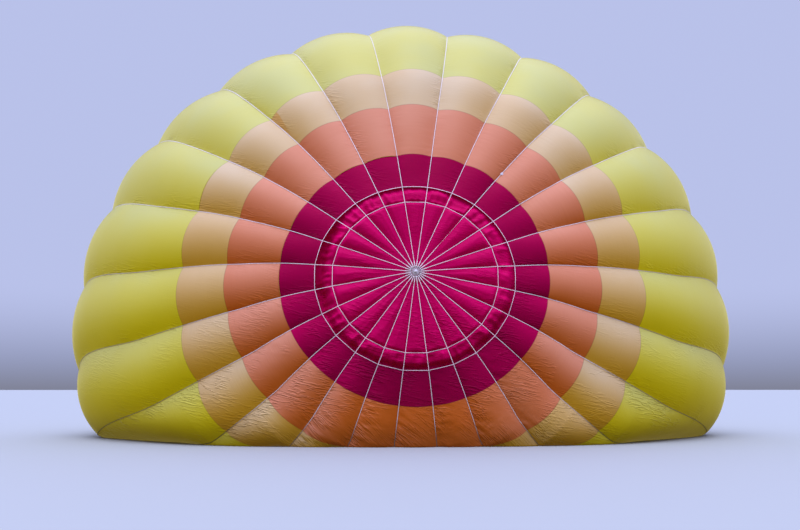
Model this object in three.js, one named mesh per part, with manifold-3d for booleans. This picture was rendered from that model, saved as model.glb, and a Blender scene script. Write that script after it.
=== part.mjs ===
// Hot air balloon lying on the ground while cold air fills it.
// Millimetres, +Z up, +Y from the crown towards the basket, z = 0 is the ground.
// The crown faces -Y. The basket lies on its side behind the mouth.

import * as THREE from 'three';
import { mergeVertices } from 'three/addons/utils/BufferGeometryUtils.js';
import Module from 'manifold-3d';

const wasm = await Module();
wasm.setup();

// Envelope
const GORES = 24;
const COLUMNS = 4;                 // facets across one gore
const WALL = 10;                   // thickness of envelope and vent panel
const SEAM = 0.15;                 // half the gap left between two bands
const SEAM_BOW = 60;               // a colour seam runs this much farther in the middle of a gore
const CROWN_HEIGHT = 4730;
const MOUTH_DEPTH = 15400;
const TAPE_REST = 4.5;             // height of a seam over the ground, room for its tape
const PANEL_INSET = 10.5;          // vent panel under the outer face of the envelope

// Cross-sections of the envelope, each an ellipse cut off at the ground.
// along: distance from the crown down a tape; width, height: half sizes of the ellipse;
// centre: its height; depth: its y at the crown's height; lean: y per unit of height;
// bulge: rise of a gore between its two tapes, as a share of their distance.
const SECTIONS = [
  { along: 0, width: 0, height: 0, centre: CROWN_HEIGHT, depth: 0, lean: 0.045, bulge: 0 },
  { along: 600, width: 608, height: 560, centre: 4705, depth: 5, lean: 0.045, bulge: 0.005 },
  { along: 2280, width: 2305, height: 2120, centre: 4615, depth: 70, lean: 0.045, bulge: 0.03 },
  { along: 2760, width: 2775, height: 2570, centre: 4605, depth: 127, lean: 0.047, bulge: 0.05 },
  { along: 3770, width: 3750, height: 3545, centre: 4620, depth: 270, lean: 0.053, bulge: 0.07 },
  { along: 5380, width: 5260, height: 5130, centre: 4615, depth: 640, lean: 0.06, bulge: 0.095 },
  { along: 6810, width: 6585, height: 6520, centre: 4445, depth: 1060, lean: 0.06, bulge: 0.11 },
  { along: 9700, width: 8675, height: 8795, centre: 4195, depth: 2430, lean: 0.075, bulge: 0.125 },
  { along: 12600, width: 10600, height: 9755, centre: 3930, depth: 4690, lean: 0.07, bulge: 0.125 },
  { along: 14400, width: 10950, height: 9650, centre: 2825, depth: 6380, lean: 0.055, bulge: 0.13 },
  { along: 16800, width: 10100, height: 8700, centre: 2650, depth: 8550, lean: 0.03, bulge: 0.14 },
  { along: 19500, width: 8350, height: 7100, centre: 2500, depth: 10800, lean: 0.01, bulge: 0.14 },
  { along: 22300, width: 6100, height: 5150, centre: 2300, depth: 12800, lean: 0, bulge: 0.13 },
  { along: 24600, width: 4200, height: 3550, centre: 2080, depth: 14300, lean: 0, bulge: 0.1 },
  { along: 26300, width: 2900, height: 2400, centre: 1850, depth: MOUTH_DEPTH, lean: 0, bulge: 0 },
];

// Rows of facets of each colour band, as distances along a tape
const INNER_RING = 2280;
const VENT_EDGE = 2760;
const MOUTH = 26300;
const PANEL_EDGE = 2960;
const PANEL_ROWS = [0, INNER_RING, VENT_EDGE, PANEL_EDGE];
const BANDS = [
  { name: 'envelope_crimson', colour: 'crimson', rows: [VENT_EDGE, PANEL_EDGE, 3770] },
  { name: 'envelope_orange', colour: 'orange', rows: [3770, 5380], parts: 'halves' },
  { name: 'envelope_peach', colour: 'peach', rows: [5380, 6810], parts: 'halves' },
  { name: 'envelope_front', colour: 'yellow', rows: [6810, 8700, 10600, 12600], parts: 'quarters' },
  { name: 'envelope_rear', colour: 'yellow', rows: [12600, 14400, 17600, 21200, 24600], parts: 'quarters' },
  { name: 'mouth_band', colour: 'nomex', rows: [24600, MOUTH] },
];

// First and last gore of each part of a band; gore 0 is the middle one at the top
const PARTS = {
  halves: [
    { suffix: '_upper', gores: [-6, 6] },
    { suffix: '_lower', gores: [7, 17] },
  ],
  quarters: [
    { suffix: '_top', gores: [-3, 3] },
    { suffix: '_right', gores: [4, 8] },
    { suffix: '_ground', gores: [9, 15] },
    { suffix: '_left', gores: [16, 20] },
  ],
};

// Load tapes and crown
const TAPE_WIDTH = 40;
const TAPE_THICK = 3;
const TAPE_FOOT = 7;               // half the flat of the shell's inner face under a tape
const RING_TAPE_WIDTH = 40;
const HUB_INNER = 165;
const HUB_OUTER = 250;
const HUB_THICK = 14;
const HUB_FACE = 3;                // y of the hub's inner face at the crown
const CROWN_TILT = Math.atan(SECTIONS[0].lean);
const CROWN_RING_TUBE = 14;
const CROWN_RING_RADIUS = HUB_INNER - CROWN_RING_TUBE - 0.3;

// Mouth cable and flying wires
const CABLE_RADIUS = 8;
const WIRE_RADIUS = 3;

// Burner frame and gimbal, in a vertical plane behind the mouth
const FRAME_DEPTH = 18100;
const AXIS_HEIGHT = 560;           // of burner and basket centre lines over the ground
const FRAME_HALF_X = 600;
const FRAME_HALF_Z = 498;
const FRAME_TUBE = 19;
const CORNER_BLOCK = 56;
const GIMBAL_RADIUS = 425;
const GIMBAL_TUBE = 14;
const PIN_RADIUS = 10;
const BUSH_HOLE = 10.6;
const BUSH_OUTER = 19;
const BUSH_LENGTH = 30;

// Burner
const CAN_RADIUS = 150;
const CAN_WALL = 4;
const CAN_LENGTH = 400;
const CAN_SPACING = 330;
const CAN_BACK = 60;               // closed end of a can, behind the gimbal's plane
const BLOCK_SIZE = [360, 90, 130];
const VALVE_SIZE = [60, 70, 80];

// Basket, lying on one long side
const BASKET_HALF_X = 650;
const BASKET_HALF_Z = 548;
const BASKET_WALL = 30;
const BASKET_CORNER = 90;
const BASKET_FRONT = 18900;        // y of the top of the walls
const BASKET_BACK = 19950;         // y of the outside of the floor
const FLOOR_THICK = 20;
const RIM_RADIUS = 40;
const SKID_THICK = 40;
const SKID_WIDTH = 70;
const HIDE_HEIGHT = 160;
const HIDE_THICK = 6;
const UPRIGHT_RADIUS = 17;

// Gas cylinders in the basket's corners
const BOTTLE_RADIUS = 150;
const BOTTLE_LENGTH = 640;
const COLLAR_RADIUS = 88;          // guard round the valve
const COLLAR_THICK = 6;
const COLLAR_FOOT = BOTTLE_LENGTH - 78;
const STEM_RADIUS = 18;
const HANDWHEEL_RADIUS = 34;
const HANDWHEEL_FOOT = BOTTLE_LENGTH - 42;
const HANDWHEEL_THICK = 18;
const FIT = 0.3;                   // gap between two pieces that touch

const MATERIALS = {
  crimson: { color: '#a3124f', roughness: 0.55 },
  orange: { color: '#d98a55', roughness: 0.55 },
  peach: { color: '#d9b56a', roughness: 0.55 },
  yellow: { color: '#dcd545', roughness: 0.55 },
  nomex: { color: '#7c1038', roughness: 0.75 },
  tape: { color: '#dcd7e0', roughness: 0.8 },
  aluminium: { color: '#b9bcc0', roughness: 0.4, metalness: 0.9 },
  steel: { color: '#a4a7ab', roughness: 0.3, metalness: 1.0 },
  brass: { color: '#b08d4b', roughness: 0.35, metalness: 1.0 },
  black: { color: '#26262a', roughness: 0.6 },
  wicker: { color: '#a87a45', roughness: 0.8 },
  leather: { color: '#5d3a22', roughness: 0.7 },
  wood: { color: '#b48a56', roughness: 0.7 },
  jacket: { color: '#2b3350', roughness: 0.85 },
};
const materials = Object.fromEntries(
  Object.entries(MATERIALS).map(([name, look]) => [name, new THREE.MeshStandardMaterial(look)]),
);

const balloon = new THREE.Group();

function add(name, geometry, material, parent = balloon) {
  geometry.computeVertexNormals();
  const mesh = new THREE.Mesh(geometry, materials[material]);
  mesh.name = name;
  parent.add(mesh);
  return mesh;
}

// Booleans

function toSolid(geometry) {
  let bare = geometry.clone();
  bare.deleteAttribute('normal');
  bare.deleteAttribute('uv');
  bare = mergeVertices(bare, 1e-3);
  const vertProperties = new Float32Array(bare.attributes.position.array);
  const triVerts = new Uint32Array(bare.index.array);
  return new wasm.Manifold(new wasm.Mesh({ numProp: 3, vertProperties, triVerts }));
}

function fromSolid(solid) {
  const mesh = solid.getMesh();
  const geometry = new THREE.BufferGeometry();
  geometry.setAttribute('position', new THREE.BufferAttribute(mesh.vertProperties, 3));
  geometry.setIndex(new THREE.BufferAttribute(mesh.triVerts, 1));
  return geometry;
}

function join(geometries) {
  return fromSolid(wasm.Manifold.union(geometries.map(toSolid)));
}

function cut(geometry, tools) {
  return fromSolid(toSolid(geometry).subtract(wasm.Manifold.union(tools.map(toSolid))));
}

// Simple shapes

function box(x, y, z, centre) {
  return new THREE.BoxGeometry(x, y, z).translate(...centre);
}

function rod(from, to, radius, sides = 12) {
  const start = new THREE.Vector3(...from);
  const along = new THREE.Vector3(...to).sub(start);
  const length = along.length();
  const geometry = new THREE.CylinderGeometry(radius, radius, length, sides);
  geometry.translate(0, length / 2, 0);
  const turn = new THREE.Quaternion().setFromUnitVectors(new THREE.Vector3(0, 1, 0), along.normalize());
  return geometry.applyQuaternion(turn).translate(start.x, start.y, start.z);
}

// Envelope surface

// Smooth curve through one column of the table
function column(name, along) {
  const last = SECTIONS.length - 1;
  let i = 0;
  while (i < last - 1 && along > SECTIONS[i + 1].along) i += 1;
  const slope = (n) => {
    const low = SECTIONS[Math.max(n - 1, 0)];
    const high = SECTIONS[Math.min(n + 1, last)];
    return (high[name] - low[name]) / (high.along - low.along);
  };
  const start = SECTIONS[i];
  const end = SECTIONS[i + 1];
  const span = end.along - start.along;
  const u = (along - start.along) / span;
  const startShare = 2 * u ** 3 - 3 * u ** 2 + 1;
  const endShare = 3 * u ** 2 - 2 * u ** 3;
  const bend = (u ** 3 - 2 * u ** 2 + u) * slope(i) + (u ** 3 - u ** 2) * slope(i + 1);
  return startShare * start[name] + endShare * end[name] + bend * span;
}

function sectionAt(along) {
  const section = {};
  for (const name of ['width', 'height', 'centre', 'depth', 'lean', 'bulge']) {
    section[name] = column(name, along);
  }
  return section;
}

// The sagging fabric hangs lower than even spacing: the tapes slide down by this share of the
// half loop, from the first distance along a tape, in full from the second
const SLIDE = 0.18;
const SLIDE_FROM = 2280;
const SLIDE_FULL = 9000;

function tapeShare(k, along) {
  const even = (k + 0.5) / (GORES / 2);
  const grown = Math.min(Math.max((along - SLIDE_FROM) / (SLIDE_FULL - SLIDE_FROM), 0), 1);
  return even + grown * SLIDE * even * (1 - even);
}

// Points of the tapes on the right half of a section
const halfLoops = new Map();
const LOOP_STEPS = 240;

function halfLoop(along) {
  if (halfLoops.has(along)) return halfLoops.get(along);
  const section = sectionAt(along);
  const { width, height, centre } = section;
  const onGround = height > centre;
  const end = onGround ? Math.PI - Math.acos(centre / height) : Math.PI;
  const points = [];
  for (let i = 0; i <= LOOP_STEPS; i += 1) {
    const angle = (end * i) / LOOP_STEPS;
    points.push([width * Math.sin(angle), centre + height * Math.cos(angle)]);
  }
  if (onGround) points.push([0, 0]);
  const lengths = [0];
  for (let i = 1; i < points.length; i += 1) {
    const dx = points[i][0] - points[i - 1][0];
    const dz = points[i][1] - points[i - 1][1];
    lengths.push(lengths[i - 1] + Math.hypot(dx, dz));
  }
  const total = lengths[lengths.length - 1];
  const tapes = [];
  for (let k = 0; k < GORES / 2; k += 1) {
    const target = total * tapeShare(k, along);
    let i = 1;
    while (lengths[i] < target) i += 1;
    const share = total === 0 ? 0 : (target - lengths[i - 1]) / (lengths[i] - lengths[i - 1]);
    tapes.push([
      points[i - 1][0] + share * (points[i][0] - points[i - 1][0]),
      points[i - 1][1] + share * (points[i][1] - points[i - 1][1]),
    ]);
  }
  const result = { section, tapes };
  halfLoops.set(along, result);
  return result;
}

// Tape k counts clockwise from the top, seen from the crown's side
function tapePoint(k, along) {
  const index = ((k % GORES) + GORES) % GORES;
  const { section, tapes } = halfLoop(along);
  const mirrored = index >= GORES / 2;
  const [x, z] = tapes[mirrored ? GORES - 1 - index : index];
  const y = section.depth + section.lean * (z - CROWN_HEIGHT);
  return new THREE.Vector3(mirrored ? -x : x, y, z);
}

// Point of gore g, between tapes g - 1 and g, a share t of the way across
function gorePoint(gore, t, along) {
  const first = tapePoint(gore - 1, along);
  const second = tapePoint(gore, along);
  const chord = second.clone().sub(first);
  const size = chord.length();
  const point = first.clone().addScaledVector(chord, t);
  const rise = size * sectionAt(along).bulge;
  if (rise > 0 && t > 0 && t < 1) {
    const step = 40;
    const ahead = tapePoint(gore - 1, along + step).add(tapePoint(gore, along + step));
    const behind = tapePoint(gore - 1, along - step).add(tapePoint(gore, along - step));
    const outward = chord.clone().cross(ahead.sub(behind)).normalize();
    const radius = (size * size / 4 + rise * rise) / (2 * rise);
    const across = size * (t - 0.5);
    const lift = Math.sqrt(radius * radius - across * across) - (radius - rise);
    point.addScaledVector(outward, lift);
  }
  return point;
}

function fabricPoint(column_, along) {
  const gore = Math.floor(column_ / COLUMNS);
  const t = (column_ - gore * COLUMNS) / COLUMNS;
  const middle = 4 * t * (1 - t);
  const bow = SEAM_BOW * Math.min(1, along / 6000) * Math.min(1, (MOUTH - along) / 2000);
  const point = gorePoint(gore, t, Math.min(along + Math.max(bow, 0) * middle, MOUTH));
  const floor = TAPE_REST * Math.max(0, 1 - Math.min(t, 1 - t) * COLUMNS);
  point.z = Math.max(point.z, floor);
  return point;
}

function fabricNormal(column_, along) {
  const low = Math.max(along - 30, 1);
  const high = Math.min(along + 30, MOUTH - 1);
  const down = fabricPoint(column_, high).sub(fabricPoint(column_, low));
  const across = fabricPoint(column_ + 0.1, along).sub(fabricPoint(column_ - 0.1, along));
  return across.cross(down).normalize();
}

const AROUND = GORES * COLUMNS;

// Column at a distance past a seam, on the gore of that side
function besideSeam(seam, offset, along) {
  const gore = seam / COLUMNS - (offset < 0 ? 1 : 0);
  const size = tapePoint(gore - 1, along).distanceTo(tapePoint(gore, along));
  return seam + (offset / size) * COLUMNS;
}

// Places across a shell, in order. column: edge of a facet; offset: distance past a seam;
// tape: on the face of the load tape that is sewn over that seam.
function placesAcross(gores, taped) {
  const [first, last] = gores ?? [0, GORES - 1];
  const places = [];
  for (let seam = first * COLUMNS; seam <= last * COLUMNS; seam += COLUMNS) {
    const open = gores && seam === first * COLUMNS;
    if (open || !taped) places.push({ column: seam, offset: 0, tape: taped });
    if (taped) places.push({ column: seam, offset: TAPE_WIDTH / 2, tape: true });
    if (taped) places.push({ column: seam, offset: TAPE_WIDTH / 2, tape: false });
    for (let i = 1; i < COLUMNS; i += 1) places.push({ column: seam + i, offset: 0, tape: false });
    if (taped) places.push({ column: seam + COLUMNS, offset: -TAPE_WIDTH / 2, tape: false });
    if (taped) places.push({ column: seam + COLUMNS, offset: -TAPE_WIDTH / 2, tape: true });
  }
  if (gores) places.push({ column: (last + 1) * COLUMNS, offset: 0, tape: taped });
  return places;
}

// Outer face: on a tape, the flat between its two edges
function outerPoint({ column, offset, tape }, along) {
  if (!tape && offset === 0) return fabricPoint(column, along);
  if (tape && offset === 0) {
    const left = outerPoint({ column, offset: -TAPE_WIDTH / 2, tape }, along);
    return left.add(outerPoint({ column, offset: TAPE_WIDTH / 2, tape }, along)).divideScalar(2);
  }
  const point = fabricPoint(besideSeam(column, offset, along), along);
  return tape ? point.addScaledVector(fabricNormal(column, along), TAPE_THICK) : point;
}

// Inner face: under a tape its places lie closer to the seam
function innerPoint({ column, offset, tape }, along) {
  const reach = tape ? Math.sign(offset) * TAPE_FOOT : offset;
  const c = reach === 0 ? column : besideSeam(column, reach, along);
  return fabricPoint(c, along).addScaledVector(fabricNormal(c, along), -WALL);
}

// Closed shell over rows of the surface, its outer face moved in by inset.
// gores: the first and the last gore that it covers, all round when they are left out.
// taped: with the load tapes on its seams.
function shell(rows, { inset = 0, gores = null, taped = false } = {}) {
  const positions = [];
  const faces = [];
  const pole = rows[0] === 0;
  const rings = pole ? rows.slice(1) : rows;
  const crown = pole ? [new THREE.Vector3(0, inset, CROWN_HEIGHT), new THREE.Vector3(0, inset + WALL, CROWN_HEIGHT)] : [];
  const places = placesAcross(gores, taped);
  const count = places.length;
  const runs = gores ? count - 1 : count;
  for (const layerPoint of [outerPoint, innerPoint]) {
    for (const along of rings) {
      places.forEach((place, i) => {
        const point = layerPoint(place, along);
        if (gores && (i === 0 || i === runs)) {
          const side = i === 0 ? 1 : -1;
          const inward = fabricPoint(place.column + side, along).sub(fabricPoint(place.column, along)).normalize();
          point.addScaledVector(inward, SEAM);
        }
        if (inset) point.addScaledVector(fabricNormal(place.column, along), -inset);
        positions.push(point.x, point.y, point.z);
      });
    }
  }
  const at = (layer, row, i) => (layer * rings.length + row) * count + (i % count);
  for (let row = 0; row < rings.length - 1; row += 1) {
    for (let i = 0; i < runs; i += 1) {
      faces.push(at(0, row, i), at(0, row, i + 1), at(0, row + 1, i + 1));
      faces.push(at(0, row, i), at(0, row + 1, i + 1), at(0, row + 1, i));
      faces.push(at(1, row, i), at(1, row + 1, i + 1), at(1, row, i + 1));
      faces.push(at(1, row, i), at(1, row + 1, i), at(1, row + 1, i + 1));
    }
    if (gores) {
      faces.push(at(0, row, 0), at(0, row + 1, 0), at(1, row + 1, 0));
      faces.push(at(0, row, 0), at(1, row + 1, 0), at(1, row, 0));
      faces.push(at(0, row + 1, runs), at(0, row, runs), at(1, row + 1, runs));
      faces.push(at(0, row, runs), at(1, row, runs), at(1, row + 1, runs));
    }
  }
  const end = rings.length - 1;
  for (let i = 0; i < runs; i += 1) {
    faces.push(at(0, end, i), at(0, end, i + 1), at(1, end, i + 1));
    faces.push(at(0, end, i), at(1, end, i + 1), at(1, end, i));
    if (pole) {
      const outer = positions.length / 3;
      faces.push(outer, at(0, 0, i + 1), at(0, 0, i));
      faces.push(outer + 1, at(1, 0, i), at(1, 0, i + 1));
    } else {
      faces.push(at(0, 0, i), at(1, 0, i + 1), at(0, 0, i + 1));
      faces.push(at(0, 0, i), at(1, 0, i), at(1, 0, i + 1));
    }
  }
  crown.forEach((point) => positions.push(point.x, point.y, point.z));
  return closedMesh(positions, faces);
}

function closedMesh(positions, faces) {
  const geometry = new THREE.BufferGeometry();
  geometry.setAttribute('position', new THREE.Float32BufferAttribute(positions, 3));
  geometry.setIndex(faces);
  const index = geometry.index.array;
  const p = geometry.attributes.position;
  let volume = 0;
  const [a, b, c] = [new THREE.Vector3(), new THREE.Vector3(), new THREE.Vector3()];
  for (let i = 0; i < index.length; i += 3) {
    a.fromBufferAttribute(p, index[i]);
    b.fromBufferAttribute(p, index[i + 1]);
    c.fromBufferAttribute(p, index[i + 2]);
    volume += a.dot(b.cross(c));
  }
  if (volume < 0) {
    for (let i = 0; i < index.length; i += 3) [index[i], index[i + 1]] = [index[i + 1], index[i]];
  }
  return geometry;
}

for (const band of BANDS) {
  const rows = [...band.rows];
  rows[0] += SEAM;
  rows[rows.length - 1] -= SEAM;
  if (band.parts) {
    for (const { suffix, gores } of PARTS[band.parts]) {
      add(band.name + suffix, shell(rows, { gores, taped: true }), band.colour);
    }
  } else {
    add(band.name, shell(rows, { taped: true }), band.colour);
  }
}

add('vent_panel', shell(PANEL_ROWS, { inset: PANEL_INSET }), 'crimson');

// Flat strip with a rectangular section, through points with their normals and sideways directions
function strip(stations, closed = false) {
  const positions = [];
  const faces = [];
  for (const { low, high, side, width } of stations) {
    const half = side.clone().multiplyScalar(width / 2);
    for (const corner of [low.clone().sub(half), low.clone().add(half), high.clone().add(half), high.clone().sub(half)]) {
      positions.push(corner.x, corner.y, corner.z);
    }
  }
  const count = stations.length;
  const runs = closed ? count : count - 1;
  for (let i = 0; i < runs; i += 1) {
    const a = 4 * i;
    const b = 4 * ((i + 1) % count);
    for (let e = 0; e < 4; e += 1) {
      const f = (e + 1) % 4;
      faces.push(a + e, a + f, b + f);
      faces.push(a + e, b + f, b + e);
    }
  }
  if (!closed) {
    const z = 4 * (count - 1);
    faces.push(0, 2, 1, 0, 3, 2, z, z + 1, z + 2, z, z + 2, z + 3);
  }
  return closedMesh(positions, faces);
}

// Two places of the same kind on the left and the right edge of the tape over a seam
function tapeEdges(seam, along, tape) {
  return [-1, 1].map((side) => outerPoint({ column: seam, offset: (side * TAPE_WIDTH) / 2, tape }, along));
}

function middleOf([left, right]) {
  return left.clone().add(right).divideScalar(2);
}

function tapeStrip(k, rows) {
  const seam = (k + 1) * COLUMNS;
  const stations = rows.map((row) => {
    const under = tapeEdges(seam, row, false);
    const side = under[1].clone().sub(under[0]);
    const width = side.length();
    return { low: middleOf(under), high: middleOf(tapeEdges(seam, row, true)), side: side.normalize(), width };
  });
  return strip(stations);
}

// Ring tape from tape to tape, inside the thickness of the tapes that it crosses
const RING_TAPE_THICK = TAPE_THICK / 2;

function ringTape(along, width) {
  const stations = [];
  for (let c = 0; c < AROUND; c += COLUMNS / 2) {
    const normal = fabricNormal(c, along);
    const down = fabricPoint(c, along + 30).sub(fabricPoint(c, along - 30)).normalize();
    const base = fabricPoint(c, along);
    const levels = [Math.floor(c / COLUMNS), Math.ceil(c / COLUMNS)].map((gore) => {
      const seam = gore * COLUMNS;
      const over = middleOf(tapeEdges(seam, along, false)).sub(fabricPoint(seam, along));
      return over.dot(fabricNormal(seam, along));
    });
    const lift = (levels[0] + levels[1]) / 2 + (TAPE_THICK - RING_TAPE_THICK) / 2;
    stations.push({
      low: base.clone().addScaledVector(normal, lift),
      high: base.clone().addScaledVector(normal, lift + RING_TAPE_THICK),
      side: down,
      width,
    });
  }
  return strip(stations, true);
}

// Web of tapes across the vent, gathered at the crown ring
const webRows = [HUB_OUTER - 40, INNER_RING, VENT_EDGE - SEAM];
const webTapes = [];
for (let k = 0; k < GORES; k += 1) webTapes.push(tapeStrip(k, webRows));
webTapes.push(ringTape(INNER_RING, RING_TAPE_WIDTH));
const hub = new THREE.LatheGeometry([
  new THREE.Vector2(HUB_INNER, -HUB_THICK / 2),
  new THREE.Vector2(HUB_OUTER, -HUB_THICK / 2),
  new THREE.Vector2(HUB_OUTER, HUB_THICK / 2),
  new THREE.Vector2(HUB_INNER, HUB_THICK / 2),
  new THREE.Vector2(HUB_INNER, -HUB_THICK / 2),
], GORES);
hub.translate(0, HUB_FACE - HUB_THICK / 2, 0).rotateX(-CROWN_TILT).translate(0, 0, CROWN_HEIGHT);
webTapes.push(hub);
add('vent_web', join(webTapes), 'tape');

const crownRing = new THREE.TorusGeometry(CROWN_RING_RADIUS, CROWN_RING_TUBE, 8, 24);
crownRing.rotateX(Math.PI / 2).translate(0, HUB_FACE - HUB_THICK + 1, 0);
crownRing.rotateX(-CROWN_TILT).translate(0, 0, CROWN_HEIGHT);
add('crown_ring', crownRing, 'aluminium');

// Mouth cable and flying wires

// Closed round tube through points that lie in one vertical plane
function loopTube(points, radius, sides, depth) {
  const positions = [];
  const faces = [];
  const count = points.length;
  points.forEach(([x, z], i) => {
    const [xa, za] = points[(i + count - 1) % count];
    const [xb, zb] = points[(i + 1) % count];
    const out = new THREE.Vector2(zb - za, xa - xb).normalize();
    for (let e = 0; e < sides; e += 1) {
      const angle = (2 * Math.PI * e) / sides;
      const reach = radius * Math.cos(angle);
      positions.push(x + out.x * reach, depth + radius * Math.sin(angle), z + out.y * reach);
    }
  });
  for (let i = 0; i < count; i += 1) {
    const next = (i + 1) % count;
    for (let e = 0; e < sides; e += 1) {
      const f = (e + 1) % sides;
      faces.push(i * sides + e, i * sides + f, next * sides + f);
      faces.push(i * sides + e, next * sides + f, next * sides + e);
    }
  }
  return closedMesh(positions, faces);
}

const TAPE_END_ROOM = 1.8;         // clears the ends of the load tapes, which lean back over the cable
const CABLE_DEPTH = MOUTH_DEPTH + CABLE_RADIUS + TAPE_END_ROOM;
const cablePoints = [];
for (let c = 0; c < AROUND; c += COLUMNS) {
  const point = fabricPoint(c, MOUTH);
  point.addScaledVector(fabricNormal(c, MOUTH), -WALL / 2);
  cablePoints.push([point.x, Math.max(point.z, CABLE_RADIUS)]);
}
add('mouth_cable', loopTube(cablePoints, CABLE_RADIUS, 8, CABLE_DEPTH), 'steel');

const CORNERS = [
  { name: 'top_right', x: FRAME_HALF_X, z: AXIS_HEIGHT + FRAME_HALF_Z, firstTape: 0 },
  { name: 'bottom_right', x: FRAME_HALF_X, z: AXIS_HEIGHT - FRAME_HALF_Z, firstTape: 6 },
  { name: 'bottom_left', x: -FRAME_HALF_X, z: AXIS_HEIGHT - FRAME_HALF_Z, firstTape: 12 },
  { name: 'top_left', x: -FRAME_HALF_X, z: AXIS_HEIGHT + FRAME_HALF_Z, firstTape: 18 },
];
const WIRES_PER_CORNER = GORES / CORNERS.length;
const LINK_WIDTH = 64;
const LINK_LENGTH = 60;
const LINK_CIRCLE = 18;            // the wires enter the link on an arc of this radius
const LINK_STEP = THREE.MathUtils.degToRad(26);
const WIRE_SEAT = 4;               // depth of a wire's end in its link
const linkBack = FRAME_DEPTH - CORNER_BLOCK / 2 - FIT;
const linkFront = linkBack - LINK_LENGTH;

for (const corner of CORNERS) {
  const pieces = [box(LINK_WIDTH, LINK_LENGTH, LINK_WIDTH, [corner.x, (linkBack + linkFront) / 2, corner.z])];
  const tapes = [];
  for (let i = 0; i < WIRES_PER_CORNER; i += 1) tapes.push(tapePoint(corner.firstTape + i, MOUTH));
  const middle = tapes.reduce((sum, tape) => sum.add(tape), new THREE.Vector3()).divideScalar(tapes.length);
  const bearing = Math.atan2(middle.x - corner.x, middle.z - corner.z);
  tapes.forEach((tape, i) => {
    const angle = bearing + (i - (WIRES_PER_CORNER - 1) / 2) * LINK_STEP;
    const end = new THREE.Vector3(
      corner.x + LINK_CIRCLE * Math.sin(angle),
      linkFront + WIRE_SEAT,
      corner.z + LINK_CIRCLE * Math.cos(angle),
    );
    const start = new THREE.Vector3(tape.x, CABLE_DEPTH, Math.max(tape.z, CABLE_RADIUS));
    const toward = end.clone().sub(start).normalize();
    const slant = Math.sqrt(1 - toward.y ** 2);
    start.addScaledVector(toward, (CABLE_RADIUS + FIT + WIRE_RADIUS * slant) / toward.y);
    start.z = Math.max(start.z, WIRE_RADIUS + 1);
    pieces.push(rod(start.toArray(), end.toArray(), WIRE_RADIUS, 6));
  });
  add(`flying_wires_${corner.name}`, join(pieces), 'steel');
}

// Burner load frame

const frameSide = (x) => rod([x, FRAME_DEPTH, AXIS_HEIGHT - FRAME_HALF_Z], [x, FRAME_DEPTH, AXIS_HEIGHT + FRAME_HALF_Z], FRAME_TUBE);
const frameEdge = (z) => rod([-FRAME_HALF_X, FRAME_DEPTH, z], [FRAME_HALF_X, FRAME_DEPTH, z], FRAME_TUBE);
const frameHoles = [];
const framePieces = [
  frameSide(-FRAME_HALF_X),
  frameSide(FRAME_HALF_X),
  frameEdge(AXIS_HEIGHT - FRAME_HALF_Z),
  frameEdge(AXIS_HEIGHT + FRAME_HALF_Z),
  ...CORNERS.map(({ x, z }) => box(CORNER_BLOCK, CORNER_BLOCK, CORNER_BLOCK, [x, FRAME_DEPTH, z])),
];
for (const side of [-1, 1]) {
  const outer = side * (FRAME_HALF_X - FRAME_TUBE + 4);
  const inner = side * (FRAME_HALF_X - FRAME_TUBE - BUSH_LENGTH);
  framePieces.push(rod([inner, FRAME_DEPTH, AXIS_HEIGHT], [outer, FRAME_DEPTH, AXIS_HEIGHT], BUSH_OUTER, 16));
  const bottom = side * (FRAME_HALF_X - FRAME_TUBE - 2);
  frameHoles.push(rod([inner - side, FRAME_DEPTH, AXIS_HEIGHT], [bottom, FRAME_DEPTH, AXIS_HEIGHT], BUSH_HOLE, 16));
}
add('load_frame', cut(join(framePieces), frameHoles), 'steel');

// Gimbal ring: pins along X in the frame's bushes, its own bushes along Z for the burner bar

const gimbalCore = new THREE.TorusGeometry(GIMBAL_RADIUS, GIMBAL_TUBE, 8, 32);
gimbalCore.rotateX(Math.PI / 2).translate(0, FRAME_DEPTH, AXIS_HEIGHT);
const gimbalPieces = [gimbalCore];
const gimbalHoles = [];
const PIN_END = FRAME_HALF_X - FRAME_TUBE - 5;
for (const side of [-1, 1]) {
  gimbalPieces.push(rod([side * GIMBAL_RADIUS, FRAME_DEPTH, AXIS_HEIGHT], [side * PIN_END, FRAME_DEPTH, AXIS_HEIGHT], PIN_RADIUS, 16));
  const inner = AXIS_HEIGHT + side * (GIMBAL_RADIUS - GIMBAL_TUBE - BUSH_LENGTH);
  const outer = AXIS_HEIGHT + side * GIMBAL_RADIUS;
  gimbalPieces.push(rod([0, FRAME_DEPTH, inner], [0, FRAME_DEPTH, outer], BUSH_OUTER, 16));
  const bottom = AXIS_HEIGHT + side * (GIMBAL_RADIUS - GIMBAL_TUBE + 2);
  gimbalHoles.push(rod([0, FRAME_DEPTH, inner - side], [0, FRAME_DEPTH, bottom], BUSH_HOLE, 16));
}
add('gimbal_ring', cut(join(gimbalPieces), gimbalHoles), 'steel');

// Double burner on its cross bar

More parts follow.
